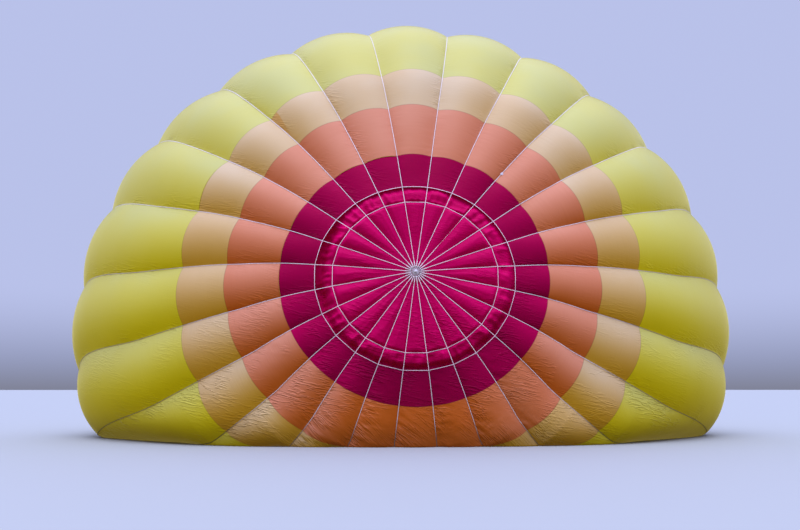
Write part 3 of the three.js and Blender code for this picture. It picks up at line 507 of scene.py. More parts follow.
def ripstop(name, low, high, deep, glow, sheen, tint, gloss, patch=None):
    """Ripstop nylon with a polyurethane coat: thin, smooth, lets light through.

    low is its colour near the ground and on what faces down, and high the paler colour of a painted
    sky sheen: on the upper gores and on what faces up.
    It drifts a little from panel to panel, felled seams show as thin dark double lines, painted shade
    darkens it beside the tapes and near the ground, dust greys it near the ground, and fine crumples
    catch the light.
    """
    material, tree = new_material(name)
    place, cloth = add(tree, "place"), add(tree, "cloth")
    across, along, _ = add(tree, "split", cloth)
    x, _, height = add(tree, "split", place)
    facing = add(tree, "split", add(tree, "normal"))[2]
    # Painted sky sheen: paler where the cloth faces up, the higher it lies, and below the upper tape of low
    # side gores
    sky_sheen = add(tree, "plus", add(tree, "times", facing, SKY_SHEEN_FACING),
                   add(tree, "times", height, SKY_SHEEN_RISE))
    sky_sheen = add(tree, "plus", sky_sheen, add(tree, "attribute", attribute_name="painted_sheen"))
    colour = add(tree, "mix", add(tree, "range", sky_sheen, *SKY_SHEEN_RANGE), low, high)
    panels = add(tree, "noise", place, PANEL_GRAIN, 3.0)
    colour = add(tree, "mix", add(tree, "range", panels, 0.3, 0.7, 0.0, 0.3), colour, deep)
    if patch:
        colour = add(tree, "mix", patch_mask(tree, across, along, patch), colour, patch["colour"])
    seam = None
    for line in SEAM_LINES:
        away = add(tree, "absolute", add(tree, "minus", along, line))
        here = add(tree, "range", away, SEAM_HALF * 0.4, SEAM_HALF * 1.5, 1.0, 0.0)
        seam = here if seam is None else add(tree, "larger", seam, here)
    # Painted shade: darker within a few centimetres of each tape, where the cloth folds against it
    to_tape = add(tree, "attribute", attribute_name="to_tape")
    tape_shade = add(tree, "range", to_tape, 0.012, 0.05, 1.0, 0.0)
    dark = add(tree, "mix", 0.62, colour, SEAM_DARK_AND_SHADE)
    colour = add(tree, "mix", add(tree, "times", seam, 0.36), colour, dark)
    colour = add(tree, "mix", add(tree, "times", tape_shade, 0.22), colour, dark)
    dust = add(tree, "times", add(tree, "range", height, 0.0, 1.6, 1.0, 0.0),
               add(tree, "noise", place, DUST_GRAIN, 6.0))
    colour = add(tree, "mix", add(tree, "times", dust, 0.18), colour, DUST)
    # Painted shade: darker within 0.9 m of the ground, where the cloth curves under
    colour = add(tree, "mix", add(tree, "range", height, 0.0, 0.9, 0.7, 0.0), colour, dark)
    # Crumples a few centimetres across: the weave itself, 5 mm squares, is too fine to show
    slack = add(tree, "attribute", attribute_name="slack")
    crumple = add(tree, "noise", add(tree, "stretch", cloth, CRUMPLE_SQUEEZE), CRUMPLE_GRAIN, 5.0, 0.6)
    crumple = add(tree, "times", crumple, add(tree, "range", slack, 0.0, 1.0, 0.2, 0.4))
    # Slack cloth lies in sharp folds of FOLD_SIZE, in patches
    off_centre = add(tree, "absolute", x)
    by_ground = add(tree, "times", add(tree, "range", height, *STEEP_HEIGHTS, 1.0, 0.0),
                    add(tree, "range", off_centre, *GROUND_REACH, 1.0, 0.0))
    ridge = add(tree, "mix values", by_ground, folds(tree, place, SLOPE), folds(tree, place, STEEP_SLOPE))
    groups = add(tree, "noise", place, GROUP_GRAIN, 2.0)
    ridge = add(tree, "times", ridge, slack)
    ridge = add(tree, "times", ridge, add(tree, "range", groups, 0.4, 0.6))
    relief = add(tree, "plus", crumple, add(tree, "times", ridge, 2.1))
    bump = add(tree, "bump", 0.6, 0.03, relief)
    coat = add(tree, "BsdfPrincipled", inputs={
        "Base Color": colour, "Roughness": 0.4, "Normal": bump, "Specular IOR Level": gloss,
        "Sheen Weight": sheen, "Sheen Roughness": 0.32, "Sheen Tint": tint})
    through = add(tree, "BsdfTranslucent", inputs={"Color": add(tree, "mix", 0.35, colour, glow),
                                                   "Normal": bump})
    add(tree, "surface", add(tree, "MixShader", 0.2, coat, through))
    return material


def patch_mask(tree, across, along, patch):
    """1 inside a mended wedge beside a tape: nothing wide at the orange seam, widest at the yellow."""
    side = add(tree, "minus", across, patch["across"])
    reach = add(tree, "range", along, ORANGE_END, PEACH_END, 0.0, patch["widest"])
    edge = add(tree, "range", add(tree, "minus", reach, side), -0.004, 0.008)
    return add(tree, "times", edge, add(tree, "range", side, -0.001, 0.0))


# The cloth of the envelope
GORE_COLUMNS = 22
CROWD = 0.085               # how much closer together columns lie beside a tape
FLOOR_GAP = 0.004           # cloth stays this far above the ground


def gore_shares():
    """Shares across one gore, closer together beside its tapes."""
    even = np.linspace(0, 1, GORE_COLUMNS + 1)
    return even - CROWD * np.sin(2 * np.pi * even)


def band_grid(first_gore, last_gore, low, high, step):
    """Grid of distances across and along for one band of cloth from gore to gore.

    Also gives along with the seams' bow added, which grows to SEAM_BOW by 6 m and ends at the mouth.
    """
    shares = gore_shares()[:-1]
    across = (np.arange(first_gore, last_gore + 1)[:, None] + shares).ravel()
    across = np.append(across, last_gore + 1.0)
    rows = np.linspace(low, high, max(int(round((high - low) / step)), 4) + 1)
    across, row = np.meshgrid(across, rows)
    bow = SEAM_BOW * np.minimum(1, row / 6) ** 2 * np.clip((MOUTH - row) / 2, 0, 1)
    return across, row, np.minimum(row + bow * arch(gore_of(across)[1]), MOUTH)


def cloth_piece(name, replaced, gores, low, high, step, material):
    """One sewn part of the envelope, its folds raised along the normals.
    """
    across, row, along = band_grid(*gores, low, high, step)
    point, normal, size = gore_surface(across, along)
    raised = point + normal * wrinkles(across, along, point, size)[..., None]
    raised[..., 2] = np.maximum(raised[..., 2], FLOOR_GAP)
    closed = gores[1] - gores[0] + 1 == GORES
    if closed:
        raised, across, row, size = raised[:, :-1], across[:, :-1], row[:, :-1], size[:, :-1]
    obj = mesh_object(name, raised, grid_faces(*row.shape, closed_columns=closed))
    t = gore_of(across)[1]
    set_uv(obj, across, row)
    set_attribute(obj, "to_tape", np.minimum(t, 1 - t) * size)
    set_attribute(obj, "slack", slackness(across, size))
    # painted sky sheen below the upper tape of low side gores
    set_attribute(obj, "painted_sheen", gore_sheen_of(across))
    dress(obj, material, replaced=[replaced])


CRIMSON = ripstop("ripstop nylon crimson", "#8a003c", "#c00058", "#860036", "#d4005e", 0.0, "#ffffff", 0.03)
PANEL_CRIMSON = ripstop("ripstop nylon bright crimson", "#c40058", "#de006c", "#b00050", "#e20068", 0.0,
                        "#ffffff", 0.03)
ORANGE = ripstop("ripstop nylon orange", "#cf6618", "#e69c84", "#c45c1e", "#e08a48", 0.6, "#ffc49a", 0.2)
PEACH = ripstop("ripstop nylon peach", "#dca828", "#dcc6a8", "#d09a28", "#ecc070", 0.7, "#ffe0a8", 0.2,
                patch={"across": -2.0, "widest": 0.15, "colour": "#d6a45c"})
YELLOW = ripstop("ripstop nylon yellow", "#f2e00c", "#caca80", "#dccc02", "#e8e040", 0.75, "#fff49a", 0.2)
ARAMID = ripstop("woven aramid dark crimson", "#5c0c2c", "#601030", "#4a0a24", "#7c1038", 0.1, "#ffffff", 0.1)

CLOTH_STEP = 0.036          # distance between rows where the creases are fine
REAR_STEP = 0.085
HALVES = {"upper": (-6, 6), "lower": (7, 17)}
ALL_ROUND = (0, GORES - 1)

cloth_piece("crimson_band", "envelope_crimson", ALL_ROUND, VENT_EDGE, CRIMSON_END, CLOTH_STEP,
            CRIMSON)
for part, gores in HALVES.items():
    cloth_piece("orange_band_" + part, "envelope_orange_" + part, gores, CRIMSON_END, ORANGE_END,
                CLOTH_STEP, ORANGE)
    cloth_piece("peach_band_" + part, "envelope_peach_" + part, gores, ORANGE_END, PEACH_END,
                CLOTH_STEP, PEACH)
for part, gores in QUARTERS.items():
    cloth_piece("yellow_front_" + part, "envelope_front_" + part, gores, PEACH_END, FRONT_END,
                CLOTH_STEP, YELLOW)
    cloth_piece("yellow_rear_" + part, "envelope_rear_" + part, gores, FRONT_END, REAR_END,
                REAR_STEP, YELLOW)
cloth_piece("mouth_skirt", "mouth_band", ALL_ROUND, REAR_END, MOUTH, REAR_STEP, ARAMID)

# Parachute vent
PANEL_DROP = 0.017          # of the panel under the web
PANEL_TUCK = 0.06           # extra drop of its edge, and TUCK_LOW more on low gores
TUCK_LOW = 0.10
GAP_MIDDLE = 18.9           # where the panel hangs back into a gap, in gores
GAP_DEPTH = 0.26
PILLOW = (0.012, 0.068)     # rise of a gore of the panel by the crown, and what it gains farther out
RADIAL = 0.007              # folds that run out from the crown
UNEVEN = 0.006
RIPPLE = 0.004
PUFFS = (0.030, 0.030, 0.046)   # of the slack ring: everywhere, in patches, more so on low gores
SLACK_RADIAL = 0.032
RING_HALF = 0.05            # the inner ring tape presses a groove this wide to each side
POINT_START = 0.06          # the panel's sewn gores end in one point inside this distance
PANEL_STEP = 0.03


def turn_from(across, gore):
    """Gores between across and a gore, the short way round."""
    return np.abs(np.mod(across - gore + GORES / 2, GORES) - GORES / 2)


def panel_relief(across, along):
    """Height of the vent panel over the smooth dome.

    It pushes out between the tapes of the web in arches, most between the two rings where it is
    slack and folds radially. The inner ring presses a groove. Left of the vent it hangs back into a
    gap.
    """
    gore, t = gore_of(across)
    pillow = arch(t)
    lower = smooth(0.4, 0.8, around_share(across))
    shift = gore * 5.17
    inside = smooth(0.25, 1.5, along)
    slack = plateau((2.27, 2.42), (2.62, 2.86), along)
    radial = creases(along / 1.1 + shift, t * 2.6 + shift + 0.25 * cloud(along / 0.5, shift, 3), 51)
    puffs = cloud(along / 0.3 + shift, across * 2.1 + shift, 61)
    ripples = creases(across * 2.2 + shift, along / 0.10 + shift, 71)
    filled = smooth(0.5, 2.0, along)
    tucked = smooth(2.54, 2.74, along)
    height = (PILLOW[0] + PILLOW[1] * filled) * pillow * inside * (1 - slack) * (1 - tucked)
    height += pillow ** 0.5 * inside * (RADIAL * radial + UNEVEN * cloud(along / 0.7, across * 1.4, 81))
    height += pillow ** 0.5 * slack * (PUFFS[0] + (PUFFS[1] + PUFFS[2] * lower) * puffs
                                       + SLACK_RADIAL * radial)
    height += RIPPLE * inside * (0.4 + 0.6 * lower) * ripples * pillow
    height *= 1 - np.exp(-((along - VENT_RING) / RING_HALF) ** 2)
    height -= PANEL_DROP + (PANEL_TUCK + TUCK_LOW * lower) * tucked
    gap = (1 - smooth(1.2, 2.6, turn_from(across, GAP_MIDDLE))) * smooth(2.38, 2.66, along)
    return height - GAP_DEPTH * gap


def vent_panel():
    """The round panel that closes the vent: a disc of 24 sewn gores with a point at the crown."""
    across, row, along = band_grid(*ALL_ROUND, POINT_START, PANEL_EDGE, PANEL_STEP)
    point, normal, size = gore_surface(across, along)
    raised = point + normal * panel_relief(across, along)[..., None]
    raised, across, row, size = raised[:, :-1], across[:, :-1], row[:, :-1], size[:, :-1]
    rows, columns = row.shape
    points = np.vstack([raised.reshape(-1, 3), raised[0].mean(axis=0)])
    fan = [[rows * columns, (c + 1) % columns, c] for c in range(columns)]
    faces = grid_faces(rows, columns, closed_columns=True).tolist() + fan
    obj = mesh_object("parachute_panel", points, np.array(faces, dtype=object))
    t = gore_of(across)[1]
    off_seam = 0.05         # the panel has no painted shade beside its seams
    set_uv(obj, np.append(across.ravel(), 0.0), np.append(row.ravel(), 0.0))
    set_attribute(obj, "to_tape", np.append((np.minimum(t, 1 - t) * size).ravel() + off_seam, off_seam))
    share = np.append(around_share(across).ravel(), 0.0)
    set_attribute(obj, "slack", 0.1 + 0.35 * smooth(0.3, 0.8, share))
    dress(obj, PANEL_CRIMSON, "vent", ["vent_panel"])


vent_panel()

# Load tapes
TAPE_HALF = 0.008           # half of a tape's width
TAPE_THICK = 0.003
TAPE_LIFT = 0.001           # of a tape over the cloth
OVERLAP = 0.03              # of the web's tapes and the load tapes at the vent's edge
WEB_START = 0.19
FRONT_TAPE_STEP = 0.12
REAR_TAPE_STEP = 0.25
WEB_TAPE_STEP = 0.07


def band_material(name, light, deep, rib, mud=None):
    """Woven polyester webbing: matt, with ribs across it and a slightly darker woven edge.

    mud is its colour where it has dragged on the ground. The real ribs are 1.5 mm apart, drawn at
    rib so that they show.
    """
    material, tree = new_material(name)
    place = add(tree, "place")
    across, along, _ = add(tree, "split", add(tree, "cloth"))
    height = add(tree, "split", place)[2]
    grime = add(tree, "noise", place, 1.3, 5.0)
    low = add(tree, "range", height, 0.0, 3.0, 0.6, 0.0)
    worn = add(tree, "larger", add(tree, "range", grime, 0.5, 0.8, 0.0, 0.6), low)
    colour = add(tree, "mix", worn, light, deep)
    if mud:
        muddy = add(tree, "times", add(tree, "range", along, 2.2, 4.6),
                    add(tree, "range", height, 2.5, 8.5, 0.9, 0.0))
        colour = add(tree, "mix", muddy, colour, mud)
    # Darker within 0.85 m of the ground: painted shade where the envelope curves under, and ground dirt
    colour = add(tree, "mix", add(tree, "range", height, 0.15, 0.85, 0.9, 0.0), colour, "#34261c")
    wave = add(tree, "sine", add(tree, "times", along, 2 * math.pi / rib))
    edge = add(tree, "range", add(tree, "absolute", across), 0.7, 0.95)
    colour = add(tree, "mix", add(tree, "times", edge, 0.25), colour, "#4c4658")
    bump = add(tree, "bump", 0.4, 0.002, wave)
    add(tree, "surface", add(tree, "BsdfPrincipled", inputs={
        "Base Color": colour, "Roughness": 0.72, "Normal": bump, "Sheen Weight": 0.15}))
    return material


WEBBING = band_material("polyester webbing", "#fae2f4", "#e2c4da", 0.008)
DRAGGED_WEBBING = band_material("polyester webbing of the load tapes", "#ece4f0", "#bcb0b8", 0.008, "#8a7850")


def strips(name, base, up, width, thick=TAPE_THICK, closed=False):
    """Flat bands with a rectangular section.

    base and up are strips x stations x 3: the middle of a band's underside and the way that it
    faces. Its sideways direction is up crossed with the run of the band.
    """
    side = unit(np.cross(up, run_of(base, closed))) * np.broadcast_to(width, base.shape[:2])[..., None] / 2
    top = base + up * thick
    ring = np.stack([base - side, base + side, top + side, top - side], axis=2)
    ring[..., :2, 2] = np.maximum(ring[..., :2, 2], 0.0035)
    ring[..., 2:, 2] = np.maximum(ring[..., 2:, 2], 0.0008)
    count, stations = base.shape[:2]
    faces = []
    for k in range(count):
        first = k * stations * 4
        faces += grid_faces(stations, 4, closed, True, first).tolist()
        if not closed:
            end = first + (stations - 1) * 4
            faces += [[first + 3, first + 2, first + 1, first], [end, end + 1, end + 2, end + 3]]
    obj = mesh_object(name, ring, np.array(faces), smooth_faces=False)
    steps = np.linalg.norm(np.diff(base, axis=1), axis=-1)
    length = np.concatenate([np.zeros((count, 1)), np.cumsum(steps, axis=1)], axis=1)
    across = np.broadcast_to(np.array([-1.0, 1.0, 1.0, -1.0]), (count, stations, 4))
    set_uv(obj, across, np.repeat(length[..., None], 4, axis=2))
    return obj


def run_of(path, closed):
    """Which way each path runs at each of its stations: from the station before to the one after."""
    run = np.roll(path, -1, axis=1) - np.roll(path, 1, axis=1)
    if not closed:
        run[:, 0] = path[:, 1] - path[:, 0]
        run[:, -1] = path[:, -1] - path[:, -2]
    return run


def tape_seat(tape, along):
    """Point over a seam where a tape clears both gores, and the way that it faces."""
    across = tape + 1.0 + np.zeros_like(along)
    point, after, _ = gore_surface(across, along)
    before = gore_surface(across - 1e-5, along)[1]
    up = unit(after + before)
    tilt = np.sqrt(np.maximum(1 - (up * after).sum(axis=-1) ** 2, 0))
    return point + up * (TAPE_HALF * tilt + TAPE_LIFT)[..., None], up


def tape_run(low, high, step):
    """Distances from low to high about step apart."""
    return np.linspace(low, high, max(int(round((high - low) / step)), 2) + 1)


def all_seats(rows):
    """Seats of all 24 tapes at these distances."""
    return tape_seat(*np.meshgrid(np.arange(GORES), rows, indexing="ij"))


tape_rows = np.concatenate([tape_run(VENT_EDGE - OVERLAP, FRONT_END, FRONT_TAPE_STEP),
                            tape_run(FRONT_END, MOUTH, REAR_TAPE_STEP)[1:]])
dress(strips("load_tapes", *all_seats(tape_rows), 2 * TAPE_HALF), DRAGGED_WEBBING)

# Web over the vent
TWISTED = 2                 # this tape is twisted nearly edge on between crown and ring
TWIST_RISE = (0.9, 1.15)
TWIST_FALL = (1.95, 2.2)
RING_TAPE_WIDTH = 0.015
RING_TAPE_THICK = 0.0025

web_rows = np.concatenate([tape_run(WEB_START, VENT_RING, WEB_TAPE_STEP),
                           tape_run(VENT_RING, VENT_EDGE + OVERLAP, WEB_TAPE_STEP)[1:]])
web_width = np.full((GORES, len(web_rows)), 2 * TAPE_HALF)
web_width[TWISTED] *= 1 - 0.7 * plateau(TWIST_RISE, TWIST_FALL, web_rows)
dress(strips("vent_web_tapes", *all_seats(web_rows), web_width), WEBBING, replaced=["vent_web"])


def ring_band(name, along, lift, bow):
    """A tape round the crown, level with the web's tapes where it crosses them.

    Between tapes it follows the chord and rises by bow times the gore's width.
    """
    across = np.arange(GORES * 6) / 6.0
    gore, t = gore_of(across)
    gore = gore.astype(int)
    rows = np.full_like(across, along)
    first, second = on_tape(gore - 1, rows), on_tape(gore, rows)
    size = np.linalg.norm(second - first, axis=-1)
    up = tape_seat(np.floor(across + 0.5).astype(int) - 1, rows)[1]
    base = first + (second - first) * t[:, None] + up * (lift + bow * size * arch(t))[:, None]
    dress(strips(name, base[None], up[None], RING_TAPE_WIDTH, RING_TAPE_THICK, closed=True), WEBBING)


ring_band("vent_ring_tape", VENT_RING, 0.003, 0.012)
ring_band("vent_edge_tape", VENT_EDGE + 0.012, 0.016, 0.054)

# Crown ring: each tape is folded over it and sewn back onto itself
LOOP_RADIUS = 0.151         # middle of the ring's tube
LOOP_TUBE = 0.018           # from there to the tape that runs round it
LOOP_OUT = 0.31             # where the outer layer of a loop ends
LOOP_BACK = 0.27            # where the layer sewn back ends
LOOP_WIDTH = 0.024


def crown_loops():
    """Ends of the 24 tapes, each a flat band that runs in, round the ring's tube and out again."""
    turn = np.linspace(np.pi / 2, -np.pi / 2, 9)
    inner = LOOP_RADIUS + 0.03
    radii = np.concatenate([np.linspace(LOOP_OUT, inner, 6), LOOP_RADIUS - LOOP_TUBE * np.cos(turn),
                            np.linspace(inner, LOOP_BACK, 5)])
    heights = np.concatenate([np.linspace(0.006, 0.017, 6), LOOP_TUBE * np.sin(turn), np.full(5, -0.010)])
    centre = on_tape(np.array([0]), np.array([0.0]))[0]
    angle = np.array([math.atan2(*(on_tape(np.array([k]), np.array([0.6]))[0] - centre)[[0, 2]])
                      for k in range(GORES)])
    outward = np.stack([np.sin(angle), np.zeros(GORES), np.cos(angle)], axis=-1)
    face = np.array([0.0, -1.0, 0.0])
    alternate = np.where(np.arange(GORES) % 2, 0.0035, 0.0)[:, None]
    base = centre + outward[:, None] * radii[None, :, None] + face * (heights[None] + alternate)[..., None]
    lean = section(np.array([0.0]))["lean"][0]
    base[..., 1] += lean * (base[..., 2] - centre[2])
    tangent = unit(np.gradient(np.stack([radii, heights], axis=-1), axis=0))
    up = unit(outward[:, None] * tangent[None, :, 1:2] - face * tangent[None, :, 0:1])
    width = LOOP_WIDTH - 0.003 * (radii < 0.2)
    dress(strips("crown_tape_loops", base, up, width, 0.0028), WEBBING)


crown_loops()


# Shapes for the rigging, the burner and the basket
AXIS = 0.56                 # height of the burner's and the basket's middle


def turns(count):
    """Angles evenly round a circle."""
    return np.linspace(0, 2 * np.pi, count + 1)[:-1]


def spokes(axis, sides):
    """Directions square to an axis, evenly round it."""
    side = unit(np.cross(axis, np.eye(3)[np.argmin(np.abs(axis))]))
    angle = turns(sides)[:, None]
    return side * np.cos(angle) + np.cross(axis, side) * np.sin(angle)


def capped(rows, sides):
    """Faces of a tube made of rows of points, closed by a flat face at each end."""
    ends = np.arange(sides)[None]
    return [grid_faces(rows, sides, closed_columns=True), ends[:, ::-1], ends + (rows - 1) * sides]


def tubes(path, radius, sides=10, closed=False, up=(0.0, 0.0, 1.0)):
    """Round sections carried along one path or several: rings at radius from the path, square to
    its run. up is any direction that the path never takes."""
    path = np.asarray(path, float)
    path = path[None] if path.ndim == 2 else path
    run = unit(run_of(path, closed))
    side = unit(np.cross(run, up))
    other = np.cross(run, side)
    angle = turns(sides)[:, None]
    reach = np.broadcast_to(radius, path.shape[:2])[..., None, None]
    ring = path[:, :, None] + reach * (side[:, :, None] * np.cos(angle) + other[:, :, None] * np.sin(angle))
    count, stations = path.shape[:2]
    faces = [grid_faces(stations, sides, closed, True, k * stations * sides) for k in range(count)]
    if not closed:
        first = np.arange(count)[:, None] * stations * sides + np.arange(sides)
        faces += [first[:, ::-1], first + (stations - 1) * sides]
    return ring.reshape(-1, 3), faces


def turned(profile, base, axis=(0.0, 1.0, 0.0), sides=32, loop=False):
    """A profile turned round an axis. Its rows are radius and distance along the axis from base.

    An open profile runs up the outside and is closed by flat ends; a loop closes on itself.
    """
    profile = np.asarray(profile, float)
    axis = unit(np.asarray(axis, float))
    radius, along = profile[:, 0, None, None], profile[:, 1, None, None]
    ring = np.asarray(base) + axis * along + spokes(axis, sides) * radius
    rows = len(profile)
    faces = [grid_faces(rows, sides, True, True)] if loop else capped(rows, sides)
    return ring.reshape(-1, 3), faces


def rounded_block(low, high, radius, steps=6):
    """A block with round edges: the points of a ball, each carried to the corner of its octant."""
    low, high = np.asarray(low, float), np.asarray(high, float)
    tilt = -np.pi / 2 + (np.arange(steps) + 0.5) * np.pi / steps
    turn = (np.arange(2 * steps) + 0.5) * np.pi / steps
    tilt, turn = np.meshgrid(tilt, turn, indexing="ij")
    way = np.stack([np.cos(tilt) * np.cos(turn), np.cos(tilt) * np.sin(turn), np.sin(tilt)], axis=-1)
    way = way / np.abs(way).reshape(-1, 3).max(axis=0)
    points = (low + high) / 2 + np.sign(way) * ((high - low) / 2 - radius) + way * radius
    return points.reshape(-1, 3), capped(steps, 2 * steps)


def made(name, shapes, material, body, replaced=(), sharp=None):
    """One piece out of several closed shapes, with its finish, its body and the nodes it stands for.

    Edges that turn by more than sharp degrees stay sharp.
    """
    points, faces, first = [], [], 0
    for some_points, some_faces in shapes:
        points.append(some_points)
        for group in some_faces:
            faces += (group + first).tolist()
        first += len(some_points)
    obj = mesh_object(name, np.vstack(points), np.array(faces, dtype=object))
    if sharp:
        obj.data.set_sharp_from_angle(angle=math.radians(sharp))
    return dress(obj, material, body, replaced)


def rounded_loop(half_x, half_z, radius, corner_steps=8):
    """Closed path in X and Z round a rectangle with arcs for corners, counter-clockwise from -Z."""
    points = []
    for turn, (sx, sz) in enumerate(((1, -1), (1, 1), (-1, 1), (-1, -1))):
        angle = -np.pi / 2 + turn * np.pi / 2 + np.linspace(0, np.pi / 2, corner_steps + 1)
        points.append(np.stack([sx * (half_x - radius) + radius * np.cos(angle),
                                sz * (half_z - radius) + radius * np.sin(angle)], axis=-1))
    return np.vstack(points)


def box_of(node):
    """Lowest and highest corner of a node of the part's source."""
    return np.array(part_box(node)[0]), np.array(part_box(node)[1])


def middle_of(node):
    low, high = box_of(node)
    return (low + high) / 2


# Finishes of the hard parts and the basket
def textured(name, light, deep, roughness, metallic=0.0, grain=(40.0, 40.0, 40.0), rough=0.0, bump=0.1,
             depth=0.001, third=None):
    """A surface whose colour drifts between two shades along a stretched grain.

    grain is patterns per metre along X, Y and Z. third is a colour seen in patches, such as wear.
    """
    material, tree = new_material(name)
    place = add(tree, "place")
    fibre = add(tree, "noise", add(tree, "stretch", place, grain), 1.0, 6.0, 0.6)
    colour = add(tree, "mix", add(tree, "range", fibre, 0.35, 0.65), light, deep)
    if third:
        patches = add(tree, "noise", place, 6.0, 8.0, 0.7)
        colour = add(tree, "mix", add(tree, "range", patches, 0.55, 0.7, 0.0, 0.8), colour, third)
    uneven = add(tree, "range", fibre, 0.3, 0.7, roughness - rough, roughness + rough)
    add(tree, "surface", add(tree, "BsdfPrincipled", inputs={
        "Base Color": colour, "Roughness": uneven, "Metallic": metallic,
        "Normal": add(tree, "bump", bump, depth, fibre)}))
    return material


# Drawn stainless tube: bright, with fine scratches along and round it
STAINLESS = textured("drawn stainless steel", "#b4b6b8", "#8e9194", 0.3, 1.0, (60, 60, 60), 0.08, 0.12,
                     third="#7b7a76")
# Sand-cast aluminium, tumbled: dull and pale
CAST_ALUMINIUM = textured("cast aluminium", "#b9bcc0", "#9a9da2", 0.5, 1.0, (90, 90, 90), 0.1, 0.3)
# Galvanised steel strand: grey with darker oil between its wires; the lay is drawn at 20 mm to show
STRAND = textured("galvanised steel strand", "#9da1a6", "#5c5f63", 0.45, 1.0, (50, 50, 50), 0.1, 0.4, 0.002)
# Machined brass, a little tarnished
BRASS = textured("machined brass", "#b48f4a", "#8c6a30", 0.34, 1.0, (70, 70, 70), 0.08, 0.1, third="#6d5426")
# Moulded polyamide lever grips in signal red
RED_GRIP = textured("moulded red polyamide", "#b3161c", "#98100f", 0.42, 0.0, (120, 120, 120), 0.05, 0.15)
# Sawn ash, oiled: grain runs along X and is drawn 12 mm wide
ASH = textured("oiled ash wood", "#b98c58", "#8d6237", 0.6, 0.0, (3, 80, 80), 0.06, 0.25, third="#6b4a2b")
# Birch plywood of the floor with boot scuffs
PLYWOOD = textured("birch plywood", "#b08c5f", "#9a754a", 0.7, 0.0, (4, 60, 60), 0.06, 0.2, third="#5d4a36")
# Powder-coated steel of the cylinder collars
COLLAR_PAINT = textured("powder coated steel", "#8f9498", "#7d8286", 0.5, 0.0, (150, 150, 150), 0.05, 0.2,
                        third="#55504a")
# Braided cord of the crown: dull white, its 5 mm braid shows as relief
BRAID = textured("braided white polyester", "#e6e0ee", "#b4abba", 0.75, 0.0, (220, 220, 220), 0.05, 0.5,
                 0.002)


def heat_tinted(low, high):
    """Stainless sheet of the burner cans, tinted by the flame: clean at the back, then straw, then
    violet blue at the open end."""
    material, tree = new_material("heat tinted stainless sheet")
    place = add(tree, "place")
    depth = add(tree, "split", place)[1]
    cloudy = add(tree, "noise", place, 9.0, 4.0)
    drift = add(tree, "plus", depth, add(tree, "times", cloudy, 0.12))
    straw = add(tree, "range", drift, high - 0.02, low + 0.24)
    blue = add(tree, "range", drift, low + 0.26, low + 0.05)
    colour = add(tree, "mix", straw, "#aeb0b1", "#a98d5c")
    colour = add(tree, "mix", blue, colour, "#5d5a78")
    brushed = add(tree, "noise", add(tree, "stretch", place, (25, 220, 25)), 1.0, 3.0)
    add(tree, "surface", add(tree, "BsdfPrincipled", inputs={
        "Base Color": colour, "Metallic": 1.0, "Normal": add(tree, "bump", 0.12, 0.001, brushed),
        "Roughness": add(tree, "range", brushed, 0.3, 0.7, 0.26, 0.42)}))
    return material


def hide_leather(name, light, deep, grain, stitch_rows=(), stitch=0.012):
    """Oiled hide: pebbled grain, darker in its folds, pale where it is rubbed, with waxed stitches.

    UV "cloth" is metres along and across the hide. Real stitches are 6 mm, drawn at stitch.
    """
    material, tree = new_material(name)
    place = add(tree, "place")
    pebbles = add(tree, "TexVoronoi", inputs={"Vector": place, "Scale": grain})
    blotches = add(tree, "noise", place, 7.0, 6.0)
    colour = add(tree, "mix", add(tree, "range", blotches, 0.35, 0.7), light, deep)
    colour = add(tree, "mix", add(tree, "range", pebbles, 0.0, 0.5, 0.35, 0.0), colour, "#1d120b")
    along, across, _ = add(tree, "split", add(tree, "cloth"))
    height = pebbles
    for row in stitch_rows:
        away = add(tree, "absolute", add(tree, "minus", across, row))
        wave = add(tree, "sine", add(tree, "times", along, 2 * math.pi / stitch))
        thread = add(tree, "times", add(tree, "range", away, 0.0015, 0.003, 1.0, 0.0),
                     add(tree, "range", wave, -0.2, 0.2))
        colour = add(tree, "mix", thread, colour, "#c9b48c")
        height = add(tree, "plus", height, thread)
    add(tree, "surface", add(tree, "BsdfPrincipled", inputs={
        "Base Color": colour, "Roughness": 0.62, "Normal": add(tree, "bump", 0.35, 0.002, height),
        "Sheen Weight": 0.15}))
    return material


RIM_LEATHER = hide_leather("oiled hide of the rim", "#5f3c24", "#452a18", 220.0, (0.0,))
GUARD_LEATHER = hide_leather("rawhide guard", "#4e3220", "#37220f", 160.0, (0.012, 0.024, 0.168))
STRAP_LEATHER = hide_leather("harness leather strap", "#6a4426", "#4c2f1a", 240.0, (0.004, 0.031))

THREAD = 0.005              # the padded fabric's threads are 1 mm, drawn this wide


def padded_fabric(name, light, deep, quilt):
    """Heavy woven nylon over foam: matt, a visible basket weave and worn, dusty high spots.

    quilt is the colour of the thread in the seams.
    """
    material, tree = new_material(name)
    place = add(tree, "place")
    around, along, _ = add(tree, "split", add(tree, "cloth"))
    warp = add(tree, "sine", add(tree, "times", around, 2 * math.pi / THREAD))
    weft = add(tree, "sine", add(tree, "times", along, 2 * math.pi / THREAD))
    weave = add(tree, "times", warp, weft)
    worn = add(tree, "noise", place, 8.0, 7.0)
    colour = add(tree, "mix", add(tree, "range", worn, 0.35, 0.7), light, deep)
    colour = add(tree, "mix", add(tree, "range", weave, 0.0, 1.0, 0.0, 0.25), colour, quilt)
    seam = add(tree, "attribute", attribute_name="seam")
    colour = add(tree, "mix", add(tree, "times", seam, 0.6), colour, "#0c0d12")
    add(tree, "surface", add(tree, "BsdfPrincipled", inputs={
        "Base Color": colour, "Roughness": 0.82, "Normal": add(tree, "bump", 0.3, 0.001, weave),
        "Sheen Weight": 0.3}))
    return material


SLEEVE = padded_fabric("padded black nylon", "#2b2b30", "#1c1c20", "#4a4a52")
JACKET = padded_fabric("padded navy nylon", "#28335a", "#1d2544", "#44507c")


